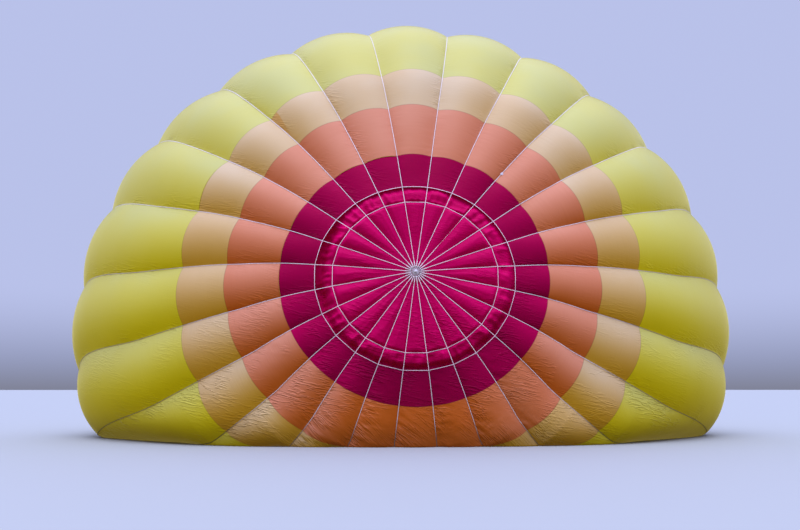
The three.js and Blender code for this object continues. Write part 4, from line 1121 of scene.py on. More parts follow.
def wicker_material():
    """Buff willow and cane: each strand has its own tone, painted shade in the gaps between rows, a silky
    skin.

    Attribute behind is 1 where a strand passes behind a stake and lies in shade. UV "cloth" counts
    stakes round the basket and rows of weaving up it.
    """
    material, tree = new_material("woven willow and cane")
    cloth = add(tree, "cloth")
    stakes, rows, _ = add(tree, "split", cloth)
    row = add(tree, "floor", rows)
    shifted = add(tree, "plus", stakes, add(tree, "times", row, 3.7))
    strand = add(tree, "CombineXYZ", add(tree, "floor", add(tree, "times", shifted, 0.09)), row)
    shade = add(tree, "TexWhiteNoise", inputs={"Vector": strand}, noise_dimensions="2D")
    colour = add(tree, "mix", add(tree, "range", shade, 0.1, 0.9), "#b98a50", "#80552a")
    fibre = add(tree, "noise", add(tree, "stretch", cloth, (2.0, 9.0, 1.0)), 1.0, 4.0)
    colour = add(tree, "mix", add(tree, "range", fibre, 0.4, 0.75, 0.0, 0.5), colour, "#6b431f")
    behind = add(tree, "attribute", attribute_name="behind")
    colour = add(tree, "mix", add(tree, "times", behind, 0.72), colour, "#3a220e")
    # Painted shade in the gaps between rows of weavers
    off_middle = add(tree, "absolute", add(tree, "minus", add(tree, "fraction", rows), 0.5))
    colour = add(tree, "mix", add(tree, "range", off_middle, 0.34, 0.5, 0.0, 0.9), colour, "#24160a")
    add(tree, "surface", add(tree, "BsdfPrincipled", inputs={
        "Base Color": colour, "Roughness": 0.5, "Normal": add(tree, "bump", 0.3, 0.001, fibre)}))
    return material


WICKER = wicker_material()

# Crown: the ring, and the short cords that tie the middle of the crown to it
CROWN_RING = 0.1507
CROWN_RING_TUBE = 0.014
RING_OUT = 0.010            # of the ring in front of the crown
KNOT = 0.026                # where the cords end, from the middle and in front of the crown
BRIDLE_CORD = 0.0075


def crown_place(x, out, height):
    """Point by the crown: x and height from its middle, out towards the camera, on the leaning face."""
    lean = SECTIONS[0, 5]
    return np.stack([x, SHIFT - out + lean * height, CROWN + height], axis=-1)


def crown_ring():
    angle = turns(72)
    path = crown_place(CROWN_RING * np.sin(angle), np.full(72, RING_OUT), CROWN_RING * np.cos(angle))
    made("crown_ring_cast", [tubes(path, CROWN_RING_TUBE, 16, closed=True, up=(0, 1, 0))], CAST_ALUMINIUM,
         "balloon", ["crown_ring"])


def crown_bridle():
    """Cords from the ring to a knot in its middle: straight spokes that rise a little to the knot."""
    angle = (np.arange(GORES) + 0.5) * 2 * np.pi / GORES
    share = np.linspace(0, 1, 6)
    inner = CROWN_RING - CROWN_RING_TUBE
    reach = inner - (inner - KNOT) * share
    out = RING_OUT + (KNOT - RING_OUT) * share ** 2
    path = crown_place(np.sin(angle)[:, None] * reach, np.broadcast_to(out, (GORES, 6)),
                       np.cos(angle)[:, None] * reach)
    knot = [(0.010, -0.024), (0.034, -0.017), (0.044, 0.0), (0.036, 0.017), (0.010, 0.025)]
    centre = crown_place(np.array(0.0), np.array(KNOT), np.array(0.0))
    made("crown_bridle", [tubes(path, BRIDLE_CORD, 8, up=(0, 1, 0)), turned(knot, centre, (0, -1, 0), 16)],
         BRAID, "balloon")


def tape_disc():
    """A sewn disc of webbing on one load tape."""
    seat, up = tape_seat(np.array([2]), np.array([4.1]))
    profile = [(0.028, -0.001), (0.050, 0.0), (0.052, 0.004), (0.046, 0.008), (0.02, 0.009)]
    made("tape_disc", [turned(profile, seat[0] + up[0] * TAPE_THICK, up[0], 24)], BRAID, "balloon")


crown_ring()
crown_bridle()
tape_disc()

# Mouth cable, the loops of tape that hold it, and the flying wires
CABLE = 0.008
CABLE_DEPTH = middle_of("mouth_cable")[1]
WIRE = 0.003
MOUTH_LOOP_THICK = 0.0025   # of the tape folded round the cable
SEWN_BACK = 0.014           # from the outside of the cloth to the end sewn back inside


def mouth_edge(across):
    """Middle of the cable where it lies behind the mouth's hem, and the outward way there."""
    point, normal, _ = gore_surface(across, np.full_like(across, MOUTH))
    out = unit(normal * np.array([1.0, 0.0, 1.0]))
    place = point - normal * 0.005
    place[..., 1] = CABLE_DEPTH
    place[..., 2] = np.maximum(place[..., 2], CABLE)
    return place, out


def mouth_cable():
    path = mouth_edge(np.arange(GORES * 4) / 4)[0]
    made("mouth_cable_strand", [tubes(path, CABLE, 12, closed=True, up=(0, 1, 0))], STRAND, "balloon",
         ["mouth_cable"])


def mouth_tape_loops():
    """The end of each load tape, folded round the cable and sewn back inside."""
    tape = np.arange(GORES)
    centre, out = mouth_edge(tape + 1.0)
    back = np.array([0.0, 1.0, 0.0])
    stations, ups = [], []
    for before_mouth in (0.16, 0.08, 0.02):
        point, up = tape_seat(tape, np.full(GORES, MOUTH - before_mouth))
        stations.append(point + up * TAPE_THICK)
        ups.append(up)
    for turn in np.radians(np.linspace(30, 150, 7)):
        way = out * math.cos(turn) + back * math.sin(turn)
        stations.append(centre + way * (CABLE + 0.0015))
        ups.append(way)
    for before_mouth in (0.03, 0.09):
        point, up = tape_seat(tape, np.full(GORES, MOUTH - before_mouth))
        stations.append(point - up * SEWN_BACK)
        ups.append(-up)
    loops = strips("mouth_tape_loops", np.stack(stations, axis=1), np.stack(ups, axis=1), 2 * TAPE_HALF,
                   MOUTH_LOOP_THICK)
    dress(loops, WEBBING)


mouth_cable()
mouth_tape_loops()

CORNERS = {"top_right": (1, 1, 0), "bottom_right": (1, -1, 6), "bottom_left": (-1, -1, 12),
           "top_left": (-1, 1, 18)}     # side, level and first tape of each corner's wires
WIRES = 6                   # at each corner
LINK = {"circle": 0.018, "step": math.radians(26), "seat": 0.004, "length": 0.06, "bar": 0.0065,
        "bend": 0.016, "half": 0.020}   # of the screw link: half its width and the radius of its bends
SLEEVE_PROFILE = [(0.004, 0.0), (0.0062, 0.003), (0.0062, 0.037), (0.004, 0.04)]
NUT_PROFILE = [(0.008, 0.0), (0.0115, 0.002), (0.0115, 0.022), (0.008, 0.024)]
EYE = 0.0125                # radius of a wire's eye round the cable
EYE_END = 0.014             # where the wire leaves its eye, from the cable's middle
SLEEVE_PLACES = (0.02, -0.06)   # of the two sleeves from the wire's two ends
FRAME_X = 0.6
FRAME_Z = 0.498
FRAME_DEPTH = middle_of("load_frame")[1]
BLOCK = 0.056
JOIN = 0.0003               # gap between pieces that are fixed to each other
LINK_BACK = FRAME_DEPTH - BLOCK / 2 - JOIN


def flying_wires(name, side, level, first_tape):
    """Six wires from the mouth cable to one corner, with an eye and a sleeve at both ends, and the
    screw link that gathers them: an oval of round bar."""
    corner = np.array([side * FRAME_X, LINK_BACK - LINK["length"], AXIS + level * FRAME_Z])
    tape = (first_tape + np.arange(WIRES)) % GORES
    on_cable = TAPES[-1, tape].copy()
    middle = on_cable.mean(axis=0)
    bearing = math.atan2(middle[0] - corner[0], middle[2] - corner[2])
    angle = bearing + (np.arange(WIRES) - (WIRES - 1) / 2) * LINK["step"]
    on_cable[:, 1] = CABLE_DEPTH
    on_cable[:, 2] = np.maximum(on_cable[:, 2], CABLE)
    end = corner + np.stack([LINK["circle"] * np.sin(angle), np.full(WIRES, LINK["seat"]),
                             LINK["circle"] * np.cos(angle)], axis=-1)
    toward = unit(end - on_cable)
    start = on_cable + toward * EYE_END
    start[:, 2] = np.maximum(start[:, 2], 2 * WIRE)
    shapes = [tubes(np.stack([start, end], axis=1), WIRE, 8)]
    for i in range(WIRES):
        for tip, away in zip((start[i], end[i]), SLEEVE_PLACES):
            shapes.append(turned(SLEEVE_PROFILE, tip + toward[i] * away, toward[i], 12))
    ring = turns(16)[:, None]
    along_cable = unit(mouth_edge(tape + 1.02)[0] - mouth_edge(tape + 0.98)[0])
    square = unit(np.cross(along_cable, toward))
    eyes = on_cable[:, None] + EYE * (toward[:, None] * np.cos(ring) + square[:, None] * np.sin(ring))
    eyes[..., 2] = np.maximum(eyes[..., 2], 0.004)
    for i in range(WIRES):
        shapes.append(tubes(eyes[i], WIRE, 6, closed=True, up=along_cable[i]))
    out = np.array([math.sin(bearing), 0.0, math.cos(bearing)])
    back = np.array([0.0, 1.0, 0.0])
    straight = LINK["length"] / 2 - 0.008 - LINK["bend"]
    turn = turns(40)[:, None]
    oval = corner + back * (LINK["length"] / 2 + np.sign(np.cos(turn)) * straight
                            + LINK["bend"] * np.cos(turn)) + LINK["half"] * np.sin(turn) * out
    shapes.append(tubes(oval, LINK["bar"], 12, closed=True, up=np.cross(out, back)))
    nut_foot = corner + out * LINK["half"] + back * (LINK["length"] / 2 - 0.012)
    shapes.append(turned(NUT_PROFILE, nut_foot, back, 6))
    made("flying_wires_and_link_" + name, shapes, STRAND, "balloon", ["flying_wires_" + name],
         sharp=40)


for name, (side, level, first_tape) in CORNERS.items():
    flying_wires(name, side, level, first_tape)

# Load frame and gimbal
BUSH = {"hole": 0.0106, "outer": 0.019, "length": 0.03, "edge": 0.002}
FRAME_TUBE = 0.019
GIMBAL = 0.425
GIMBAL_TUBE = 0.014
PIN = 0.010
PIN_EDGE = 0.003
BOLT_SHIFT = 0.012          # of a pair of bolts from the middle between them
FRAME_BOLT = (0.008, 0.005)     # half its head's width, and its height
YOKE_BOLT = (0.007, 0.005)


def bush(centre, axis, low, high):
    """A turned bush with a chamfered mouth, between two distances along its axis."""
    hole, outer, edge = BUSH["hole"], BUSH["outer"], BUSH["edge"]
    profile = [(hole, low + edge), (hole + edge, low), (outer - edge, low), (outer, low + edge),
               (outer, high), (hole, high)]
    return turned(profile, centre, axis, 32, loop=True)


def pin(centre, axis, foot, end):
    """A turned pin with a chamfered end, between two distances along its axis."""
    return turned([(PIN, foot), (PIN, end - PIN_EDGE), (PIN - PIN_EDGE, end)], centre, axis, 24)


def hex_head(centre, axis, size, high):
    """A bolt's hexagon head with its chamfer."""
    return turned([(size, 0.0), (size, high * 0.8), (size * 0.82, high)], centre, axis, 6)


def lug(corner, across):
    """The bent rod that a screw link hangs on: two short legs and half a flattened ring."""
    turn = np.linspace(0, np.pi, 13)[:, None]
    forward = np.array([0.0, -1.0, 0.0])
    bend = corner + forward * (BLOCK / 2) + across * 0.013 * np.cos(turn) + forward * (
        0.010 + 0.012 * np.sin(turn))
    leg = forward * 0.012
    return tubes(np.vstack([bend[0] - leg, bend, bend[-1] - leg]), 0.005, 10, up=np.cross(across, -forward))


def load_frame():
    """Four straight tubes between corner blocks, a lug at each corner, and two bushes."""
    centre = np.array([0.0, FRAME_DEPTH, AXIS])
    shapes = []
    for side in (-1, 1):
        x, z = side * FRAME_X, side * FRAME_Z
        shapes.append(tubes([centre + (x, 0, -FRAME_Z), centre + (x, 0, FRAME_Z)], FRAME_TUBE, 28,
                            up=(0, 1, 0)))
        shapes.append(tubes([centre + (-FRAME_X, 0, z), centre + (FRAME_X, 0, z)], FRAME_TUBE, 28))
        inner, outer = FRAME_X - FRAME_TUBE - BUSH["length"], FRAME_X - FRAME_TUBE + 0.004
        shapes.append(bush(centre, (side, 0, 0), inner, outer))
    for side, level, _ in CORNERS.values():
        corner = centre + (side * FRAME_X, 0, level * FRAME_Z)
        half = BLOCK / 2
        shapes.append(rounded_block(corner - half, corner + half, 0.006))
        shapes.append(lug(corner, unit(np.array([-level * 0.75, 0.0, side]))))
        for way in np.array([(side, 0.0, 0.0), (0.0, 0.0, level)]):
            for shift in (-BOLT_SHIFT, BOLT_SHIFT):
                shapes.append(hex_head(corner + way * (half - 0.0005) + (0, shift, 0), way, *FRAME_BOLT))
    made("load_frame_welded", shapes, STAINLESS, "balloon", ["load_frame"], sharp=40)


def gimbal_ring():
    """A round ring of bent tube, pins out along X, bushes inwards along Z."""
    centre = np.array([0.0, FRAME_DEPTH, AXIS])
    angle = turns(128)
    path = centre + GIMBAL * np.stack([np.cos(angle), 0 * angle, np.sin(angle)], axis=-1)
    shapes = [tubes(path, GIMBAL_TUBE, 18, closed=True, up=(0, 1, 0))]
    outer, inner = GIMBAL + GIMBAL_TUBE, GIMBAL - GIMBAL_TUBE
    for side in (-1, 1):
        shapes.append(pin(centre, (side, 0, 0), GIMBAL - 0.002, FRAME_X - FRAME_TUBE - 0.005))
        collar = [(0.016, outer - 0.004), (0.016, outer + 0.010), (0.012, outer + 0.013)]
        shapes.append(turned(collar, centre, (side, 0, 0), 24))
        shapes.append(bush(centre, (0, 0, side), inner - BUSH["length"], inner + 0.004))
    made("gimbal_ring_tube", shapes, STAINLESS, "gimbal", ["gimbal_ring"], sharp=40)


load_frame()
gimbal_ring()

# Burner
CAN = {"radius": 0.15, "wall": 0.004, "length": 0.4, "spacing": 0.33, "back": 0.06, "bead": 0.0025,
       "bead_half": 0.009}
BEADS = (0.07, 0.30)        # places of a can's rolled beads from its back
COIL = {"turns": 7, "radius": 0.112, "tube": 0.0065, "start": 0.12, "pitch": 0.020}
JETS = {"circle": 0.055, "tube": 0.007, "depth": 0.035}
PILOT = 0.085               # of the pilot light from a can's middle
UNION = (0.009, 0.007)      # of the burner block: half its width and its height
VALVE_NUT = (0.014, 0.010)
VALVE = {"half": 0.026, "deep": 0.056, "tall": 0.036, "cap_up": 0.012}
VALVE_CAP = [(0.02, 0.0), (0.02, 0.006), (0.014, 0.010)]
GRIP = {"half": 0.011, "thick": 0.020, "tall": 0.075}
NECK = {"half": 0.008, "from": 0.045, "to": 0.015}      # distances from the back of the grip
PILOT_PROFILE = [(0.009, 0.0), (0.009, 0.055), (0.013, 0.058), (0.013, 0.085), (0.009, 0.088)]
BURNER_BLOCK = np.array([0.36, 0.09, 0.13])
YOKE = {"width": 0.04, "thick": 0.03, "reach": 0.305, "arm": 0.024}
BLOCK_DEPTH = FRAME_DEPTH + CAN["back"] + JOIN + BURNER_BLOCK[1] / 2
BAR_END = GIMBAL - GIMBAL_TUBE - 0.004


def burner_block():
    """Milled block that joins the two burners, its yoke and pins, unions and bolts."""
    middle = np.array([0.0, BLOCK_DEPTH, AXIS])
    half_yoke, half_arm = YOKE["width"] / 2, YOKE["arm"] / 2
    yoke_back = BLOCK_DEPTH + YOKE["thick"] / 2
    arm_back = BLOCK_DEPTH + 0.0175
    arm_front = FRAME_DEPTH - 0.0175
    shapes = [rounded_block(middle - BURNER_BLOCK / 2, middle + BURNER_BLOCK / 2, 0.008)]
    for side in (-1, 1):
        arm = AXIS + side * YOKE["reach"]
        low, high = sorted((AXIS + side * 0.06, arm + side * (half_arm - 0.002)))
        shapes.append(rounded_block((-half_yoke, BLOCK_DEPTH - YOKE["thick"] / 2, low),
                                    (half_yoke, yoke_back, high), 0.004))
        shapes.append(rounded_block((0.002 - half_yoke, arm_front, arm - half_arm),
                                    (half_yoke - 0.002, arm_back, arm + half_arm), 0.004))
        shapes.append(pin((0, FRAME_DEPTH, AXIS), (0, 0, side), YOKE["reach"], BAR_END))
        for shift in (-BOLT_SHIFT, BOLT_SHIFT):
            shapes.append(hex_head((shift, yoke_back, AXIS + side * 0.09), (0, 1, 0), *YOKE_BOLT))
        for x in (-0.15, -0.05, 0.05, 0.15):
            shapes.append(hex_head((x, BLOCK_DEPTH, AXIS + side * 0.0645), (0, 0, side), *UNION))
    made("burner_block_milled", shapes, STAINLESS, "burner", ["burner_block"], sharp=40)


def burner_can(name, x):
    """Open can with two rolled beads and a rolled lip: its radius swells along a half sine."""
    base = (x, FRAME_DEPTH + CAN["back"], AXIS)
    radius, wall, length = CAN["radius"], CAN["wall"], CAN["length"]
    along = np.linspace(0.006, length - 0.006, 48)
    half = CAN["bead_half"]
    bead = CAN["bead"] * sum(np.where(np.abs(along - at) < half, np.cos((along - at) / half * np.pi / 2), 0)
                             for at in BEADS)
    outer = np.stack([radius + bead, along], axis=-1)
    inner = np.stack([radius - wall + bead, along], axis=-1)[::-1]
    back = [(0.02, 0.0), (radius - 0.004, 0.0)]
    lip = [(radius + 0.003, length - 0.003), (radius + 0.001, length), (radius - wall, length - 0.001)]
    inside_back = [(radius - wall - 0.003, wall), (0.02, wall)]
    profile = np.vstack([back, outer, lip, inner, inside_back])
    made("burner_can_shell_" + name, [turned(profile, base, (0, -1, 0), 72)], CAN_STEEL, "burner",
         ["burner_can_" + name], sharp=50)


def burner_coil(name, x):
    """Vaporiser inside a can: a tube wound in seven turns, its two straight legs, a ring of jets
    and the pilot light."""
    base = np.array([x, FRAME_DEPTH + CAN["back"] - CAN["wall"], AXIS])
    radius, tube = COIL["radius"], COIL["tube"]
    angle = np.linspace(0, 2 * np.pi * COIL["turns"], 24 * COIL["turns"] + 1)
    depth = COIL["start"] + COIL["pitch"] * angle / (2 * np.pi)
    helix = base + np.stack([radius * np.cos(angle), -depth, radius * np.sin(angle)], axis=-1)
    shapes = [tubes(helix, tube, 8, up=(0, 1, 0))]
    outward = unit(helix[-1] - base) * (1, 0, 1) * 0.018
    for end, nudge in ((helix[0], 0 * outward), (helix[-1], outward)):
        foot = end * (1, 0, 1) + (0, base[1], 0)
        shapes.append(tubes([foot + nudge, end + nudge], tube, 8))
    ring = turns(48)
    circle = JETS["circle"] * np.stack([np.cos(ring), 0 * ring, np.sin(ring)], axis=-1)
    shapes.append(tubes(base + circle - (0, JETS["depth"], 0), JETS["tube"], 10, closed=True, up=(0, 1, 0)))
    for place in circle[::3]:
        foot = base + place - (0, JETS["depth"] + 0.005, 0)
        shapes.append(turned([(0.0035, 0.0), (0.0035, 0.010), (0.002, 0.013)], foot, (0, -1, 0), 8))
    shapes.append(turned(PILOT_PROFILE, base + (math.copysign(PILOT, x), 0, 0), (0, -1, 0), 20))
    shapes.append(turned([(0.012, 0.0), (0.012, 0.030), (0.008, 0.034)], base, (0, -1, 0), 20))
    made("burner_coil_" + name, shapes, CAN_STEEL, "burner", sharp=40)


def blast_valve(name, x):
    """Valve body with its cap, and the lever that the pilot squeezes."""
    low, high = box_of("blast_valve_" + name)
    front, back = low[1], high[1]
    middle = (low[2] + high[2]) / 2
    half, rear, tall = VALVE["half"], front + VALVE["deep"], VALVE["tall"]
    shapes = [rounded_block((x - half, front, AXIS - tall), (x + half, rear, AXIS + tall), 0.006),
              turned(VALVE_CAP, (x, rear, AXIS + VALVE["cap_up"]), (0, 1, 0), 24)]
    for side in (1, -1):
        nut_foot = (x, front + VALVE["deep"] / 2, AXIS + side * tall)
        shapes.append(hex_head(nut_foot, (0, 0, side), *VALVE_NUT))
    made("blast_valve_body_" + name, shapes, BRASS, "burner", ["blast_valve_" + name], sharp=40)
    half, tall = GRIP["half"], GRIP["tall"]
    grip = rounded_block((x - half, back - GRIP["thick"], middle - tall), (x + half, back, middle + tall),
                         0.008)
    half = NECK["half"]
    neck = rounded_block((x - half, back - NECK["from"], AXIS - half),
                         (x + half, back - NECK["to"], AXIS + half), 0.003)
    made("blast_lever_" + name, [grip, neck], RED_GRIP, "burner")


CAN_STEEL = heat_tinted(FRAME_DEPTH + CAN["back"] - CAN["length"], FRAME_DEPTH + CAN["back"])
VALVE_SHARE = 0.6           # valves sit this share of the way out to the cans' middles
burner_block()
for name, side in (("right", 1), ("left", -1)):
    burner_can(name, side * CAN["spacing"] / 2)
    burner_coil(name, side * CAN["spacing"] / 2)
    blast_valve(name, side * CAN["spacing"] / 2 * VALVE_SHARE)

# Basket, on its side: its floor faces away from the envelope
BASKET = {"x": 0.65, "z": 0.548, "corner": 0.09, "wall": 0.03}
WALL_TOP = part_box("basket_walls")[0][1]
WALL_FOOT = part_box("basket_walls")[1][1]
STAKES = 78
STAKE_COLUMNS = 4           # columns of the mesh to each stake
ROW_HIGH = 0.0199           # real weavers are 8 mm thick, drawn at 20 mm so that they show
WEAVE = 0.005               # how far a weaver sways in and out
LACE_PITCH = 0.06
LACE = 0.0022
LACE_SINK = 0.0032          # how far a lace draws the rim in, and how far along
LACE_SPREAD = 0.006
RIM_INSET = 0.028           # of the roll's middle line from the walls' outside
RIM_CORNER = 0.015          # its corners are this much tighter


def even_loop(half_x, half_z, radius, count):
    """Count points at even distances round a rectangle with round corners, their outward ways, and
    its length."""
    corners = rounded_loop(half_x, half_z, radius, 24)
    closed = np.vstack([corners, corners[:1]])
    run = np.concatenate([[0], np.cumsum(np.linalg.norm(np.diff(closed, axis=0), axis=1))])
    at = np.arange(count) * run[-1] / count
    loop = np.stack([np.interp(at, run, closed[:, 0]), np.interp(at, run, closed[:, 1])], axis=-1)
    ahead = np.roll(loop, -1, axis=0) - np.roll(loop, 1, axis=0)
    out = unit(np.stack([ahead[:, 1], -ahead[:, 0]], axis=-1))
    return loop, out, run[-1]


def lifted(plan, depth):
    """Points in the frame from rows of x and z round the basket's axis and each row's y."""
    depth = np.broadcast_to(np.reshape(depth, (-1, 1)), plan.shape[:2])
    return np.stack([plan[..., 0], depth, AXIS + plan[..., 1]], axis=-1)


def basket_walls():
    """Randing weave: weavers pass outside one stake and inside the next, the next row the other way.

    Relief is WEAVE times the cosine of the place between stakes, its sign turned at each row, plus
    the round back of each weaver.
    """
    rows = int(round((WALL_FOOT - WALL_TOP) / ROW_HIGH))
    columns = STAKES * STAKE_COLUMNS
    loop, out, _ = even_loop(BASKET["x"], BASKET["z"], BASKET["corner"], columns)
    u = np.arange(columns) / STAKE_COLUMNS
    v_out, v_in = np.linspace(0, rows, rows * 4 + 1), np.linspace(rows, 0, rows + 1)
    row = np.floor(np.minimum(v_out, rows - 1e-6))
    sway = np.cos(np.pi * u)[None] * np.where(row % 2, 1, -1)[:, None]
    back = np.sqrt(np.maximum(1 - (2 * (v_out - row) - 1) ** 2, 0))[:, None]
    outer = WEAVE * (sway * back + 1.1 * back - 2.1)
    far = loop[None] + out[None] * outer[..., None]
    near = np.repeat((loop - out * (BASKET["wall"] - 0.002))[None], len(v_in), axis=0)
    v = np.concatenate([v_out, v_in])
    points = lifted(np.concatenate([far, near]), WALL_FOOT + (WALL_TOP - WALL_FOOT) * v / rows)
    points[..., 2] = np.maximum(points[..., 2], 0.0115)
    faces = [grid_faces(len(points), columns, True, True)]
    obj = made("basket_wicker", [(points.reshape(-1, 3), faces)], WICKER, "balloon",
               ["basket_walls"])
    set_uv(obj, np.broadcast_to(u, points.shape[:2]), np.broadcast_to(v[:, None], points.shape[:2]))
    # The inner face takes 0.3 of the painted shade of a strand behind a stake
    set_attribute(obj, "behind", np.concatenate([smooth(-0.1, 0.95, -sway), np.full(near.shape[:2], 0.3)]))


def basket_rim():
    """Padded roll under sewn hide: a round section that a lace draws in at every LACE_PITCH."""
    low, high = box_of("basket_rim")
    radius = (high[1] - low[1]) / 2
    count, sides = 432, 20
    loop, out, length = even_loop(BASKET["x"] - RIM_INSET, AXIS - radius,
                                  BASKET["corner"] - RIM_CORNER, count)
    at = np.arange(count) * length / count
    pitch = length / round(length / LACE_PITCH)
    pinch = np.exp(-((np.mod(at + pitch / 2, pitch) - pitch / 2) / LACE_SPREAD) ** 2)
    path = lifted(loop[None], (low[1] + high[1]) / 2)[0]
    roll = tubes(path, (radius - LACE_SINK * pinch)[None], sides, closed=True, up=(0, 1, 0))
    obj = made("basket_rim_roll", [roll], RIM_LEATHER, "balloon", ["basket_rim"])
    across = np.linspace(-1, 1, sides + 1)[:-1] * math.pi * radius
    set_uv(obj, np.repeat(at[:, None], sides, axis=1), np.broadcast_to(across, (count, sides)))
    turn = turns(16)[:, None]
    back = np.array([0.0, 1.0, 0.0])
    knots = int(round(length / pitch))
    shapes = []
    for i in np.round(np.arange(knots) * count / knots).astype(int) % count:
        way = np.array([out[i, 0], 0.0, out[i, 1]])
        lace = path[i] + (radius - 0.0015) * (way * np.cos(turn) + back * np.sin(turn))
        shapes.append(tubes(lace, LACE, 5, closed=True, up=unit(np.cross(back, way))))
    laces = made("basket_rim_lacing", shapes, STRAP_LEATHER, "balloon")
    set_uv(laces, np.zeros(len(laces.data.vertices)), np.zeros(len(laces.data.vertices)))


def basket_hide():
    """Guard of hide round the foot of the walls: one turn of the sheet, its two edges turned in."""
    low, high = box_of("basket_hide")
    clear, count = 0.0063, 320
    loop, out, length = even_loop(BASKET["x"] + clear, BASKET["z"] + clear, BASKET["corner"] + clear, count)
    profile = np.array([(-0.006, high[1]), (-0.001, high[1]), (0.0, high[1] - 0.001)]
                       + [(0.0, y) for y in np.linspace(high[1] - 0.003, low[1] + 0.003, 14)]
                       + [(0.0, low[1] + 0.001), (-0.001, low[1]), (-0.006, low[1])])
    at = np.arange(count) * length / count
    sag = 0.0012 * cloud(at[None] / 0.09, profile[:, 1:] / 0.05, 91) * (profile[:, :1] == 0)
    plan = loop[None] + out[None] * (profile[:, :1, None] + np.minimum(sag, 0.0006)[..., None])
    points = lifted(plan, profile[:, 1])
    faces = [grid_faces(len(profile), count, False, True)]
    obj = made("basket_hide_guard", [(points.reshape(-1, 3), faces)], GUARD_LEATHER, "balloon",
               ["basket_hide"])
    across = np.concatenate([[0], np.cumsum(np.linalg.norm(np.diff(profile, axis=0), axis=1))])
    set_uv(obj, np.broadcast_to(at, points.shape[:2]), np.broadcast_to(across[:, None], points.shape[:2]))


def basket_runners():
    for name in ("top", "middle", "bottom"):
        made("basket_skid_" + name, [rounded_block(*box_of("basket_runner_" + name), 0.009, 8)], ASH,
             "balloon", ["basket_runner_" + name])


basket_walls()
basket_rim()
basket_hide()
basket_runners()
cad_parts["basket_floor"].data.materials.clear()
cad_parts["basket_floor"].data.materials.append(PLYWOOD)

# Uprights and gas cylinders
SLEEVE_RADIUS = 0.0185
SLEEVE_TIES = 5
BOTTLE = {"radius": 0.15, "length": 0.64, "collar": 0.088, "foot": 0.562}
QUILT_SEAMS = 8             # seams up a jacket
QUILT_ROWS = (0.16, 0.32, 0.46)
STRAP_ROWS = (0.16, 0.46)
STRAP_WIDTH = 0.035
WHEEL = {"radius": 0.034, "thick": 0.018, "lobes": 6, "foot": 0.598}


def puffed(name, rows, radius, base, axis, seam, material, replaced):
    """A padded tube: radius by row, less what the sewn seams draw in, closed by flat ends.

    rows are distances along the axis from base; radius and seam have one value for each row and side.
    """
    axis = unit(np.asarray(axis, float))
    sides = radius.shape[1]
    points = np.asarray(base) + axis * rows[:, None, None] + spokes(axis, sides) * radius[..., None]
    obj = made(name, [(points.reshape(-1, 3), capped(len(rows), sides))], material, "balloon", replaced)
    around = np.arange(sides) / sides * 2 * np.pi * radius.max()
    set_uv(obj, np.broadcast_to(around, radius.shape), np.broadcast_to(rows[:, None], radius.shape))
    set_attribute(obj, "seam", np.broadcast_to(seam, radius.shape))


def seam_lines(share, count, width):
    """1 on evenly spaced lines and 0 between them: a bell curve of each place's distance to one."""
    return np.exp(-((np.mod(share * count + 0.5, 1) - 0.5) / width) ** 2)


def upright_sleeve(name):
    """Foam sleeve laced over a nylon rod: puffs between its ties, with one long seam."""
    low, high = box_of("upright_" + name)
    centre = (low + high) / 2
    length = high[1] - low[1]
    rows = np.linspace(0, length, 90)
    ties = seam_lines(rows / length, SLEEVE_TIES, 0.035)[:, None]
    seam = np.exp(-((turns(24) - np.pi) / 0.12) ** 2)[None]
    drawn = np.maximum(ties * 0.8, seam)
    ends = 1 - 0.25 * np.exp(-np.minimum(rows, length - rows) / 0.006)
    radius = SLEEVE_RADIUS * ends[:, None] - 0.0022 * drawn
    puffed("upright_sleeve_" + name, rows, radius, (centre[0], low[1], centre[2]), (0, 1, 0), drawn, SLEEVE,
           ["upright_" + name])


def cylinder_jacket(name, base):
    """A quilted jacket: the cylinder's outline, less what its seams and the edges draw in."""
    radius, length = BOTTLE["radius"], BOTTLE["length"]
    outline = np.array([(0.02, 0.0), (radius - 0.02, 0.0), (radius - 0.006, 0.006), (radius, 0.022),
                        (radius, length - 0.16), (radius - 0.004, length - 0.14),
                        (radius - 0.018, length - 0.112), (radius - 0.042, length - 0.09),
                        (BOTTLE["collar"] + 0.004, BOTTLE["foot"] - 0.001)])
    run = np.concatenate([[0], np.cumsum(np.linalg.norm(np.diff(outline, axis=0), axis=1))])
    at = np.concatenate([np.linspace(0, run[3], 8), np.linspace(run[3], run[4], 60)[1:],
                         np.linspace(run[4], run[-1], 14)[1:]])
    rows, size = np.interp(at, run, outline[:, 1]), np.interp(at, run, outline[:, 0])
    up_seams = seam_lines(turns(72) / (2 * np.pi), QUILT_SEAMS, 0.045)
    level_seams = sum(np.exp(-((rows - row) / 0.007) ** 2) for row in QUILT_ROWS)
    belly = plateau((0.0, 0.03), (length - 0.15, length - 0.09), rows)[:, None]
    drawn = np.maximum(up_seams[None], np.clip(level_seams, 0, 1)[:, None]) * belly
    jacket = size[:, None] - (0.0015 + 0.0055 * drawn) * belly
    puffed("cylinder_jacket_" + name, rows, jacket, base, (0, -1, 0), drawn, JACKET,
           ["gas_cylinder_" + name])


def handwheel(base):
    """A lobed wheel: its radius dips along a cosine between the lobes, with chamfered edges."""
    angle = turns(36)
    lobes = WHEEL["radius"] - 0.003 * (1 - np.cos(angle * WHEEL["lobes"])) / 2
    rows = np.array([0.0, 0.003, WHEEL["thick"] - 0.003, WHEEL["thick"]])
    radii = np.stack([lobes - 0.002, lobes, lobes, lobes - 0.002])
    spoke = np.stack([np.cos(angle), 0 * angle, -np.sin(angle)], axis=-1)
    forward = np.array([0.0, -1.0, 0.0])
    points = base + forward * (WHEEL["foot"] + rows[:, None, None]) + spoke * radii[..., None]
    return points.reshape(-1, 3), [group[:, ::-1] for group in capped(4, 36)]


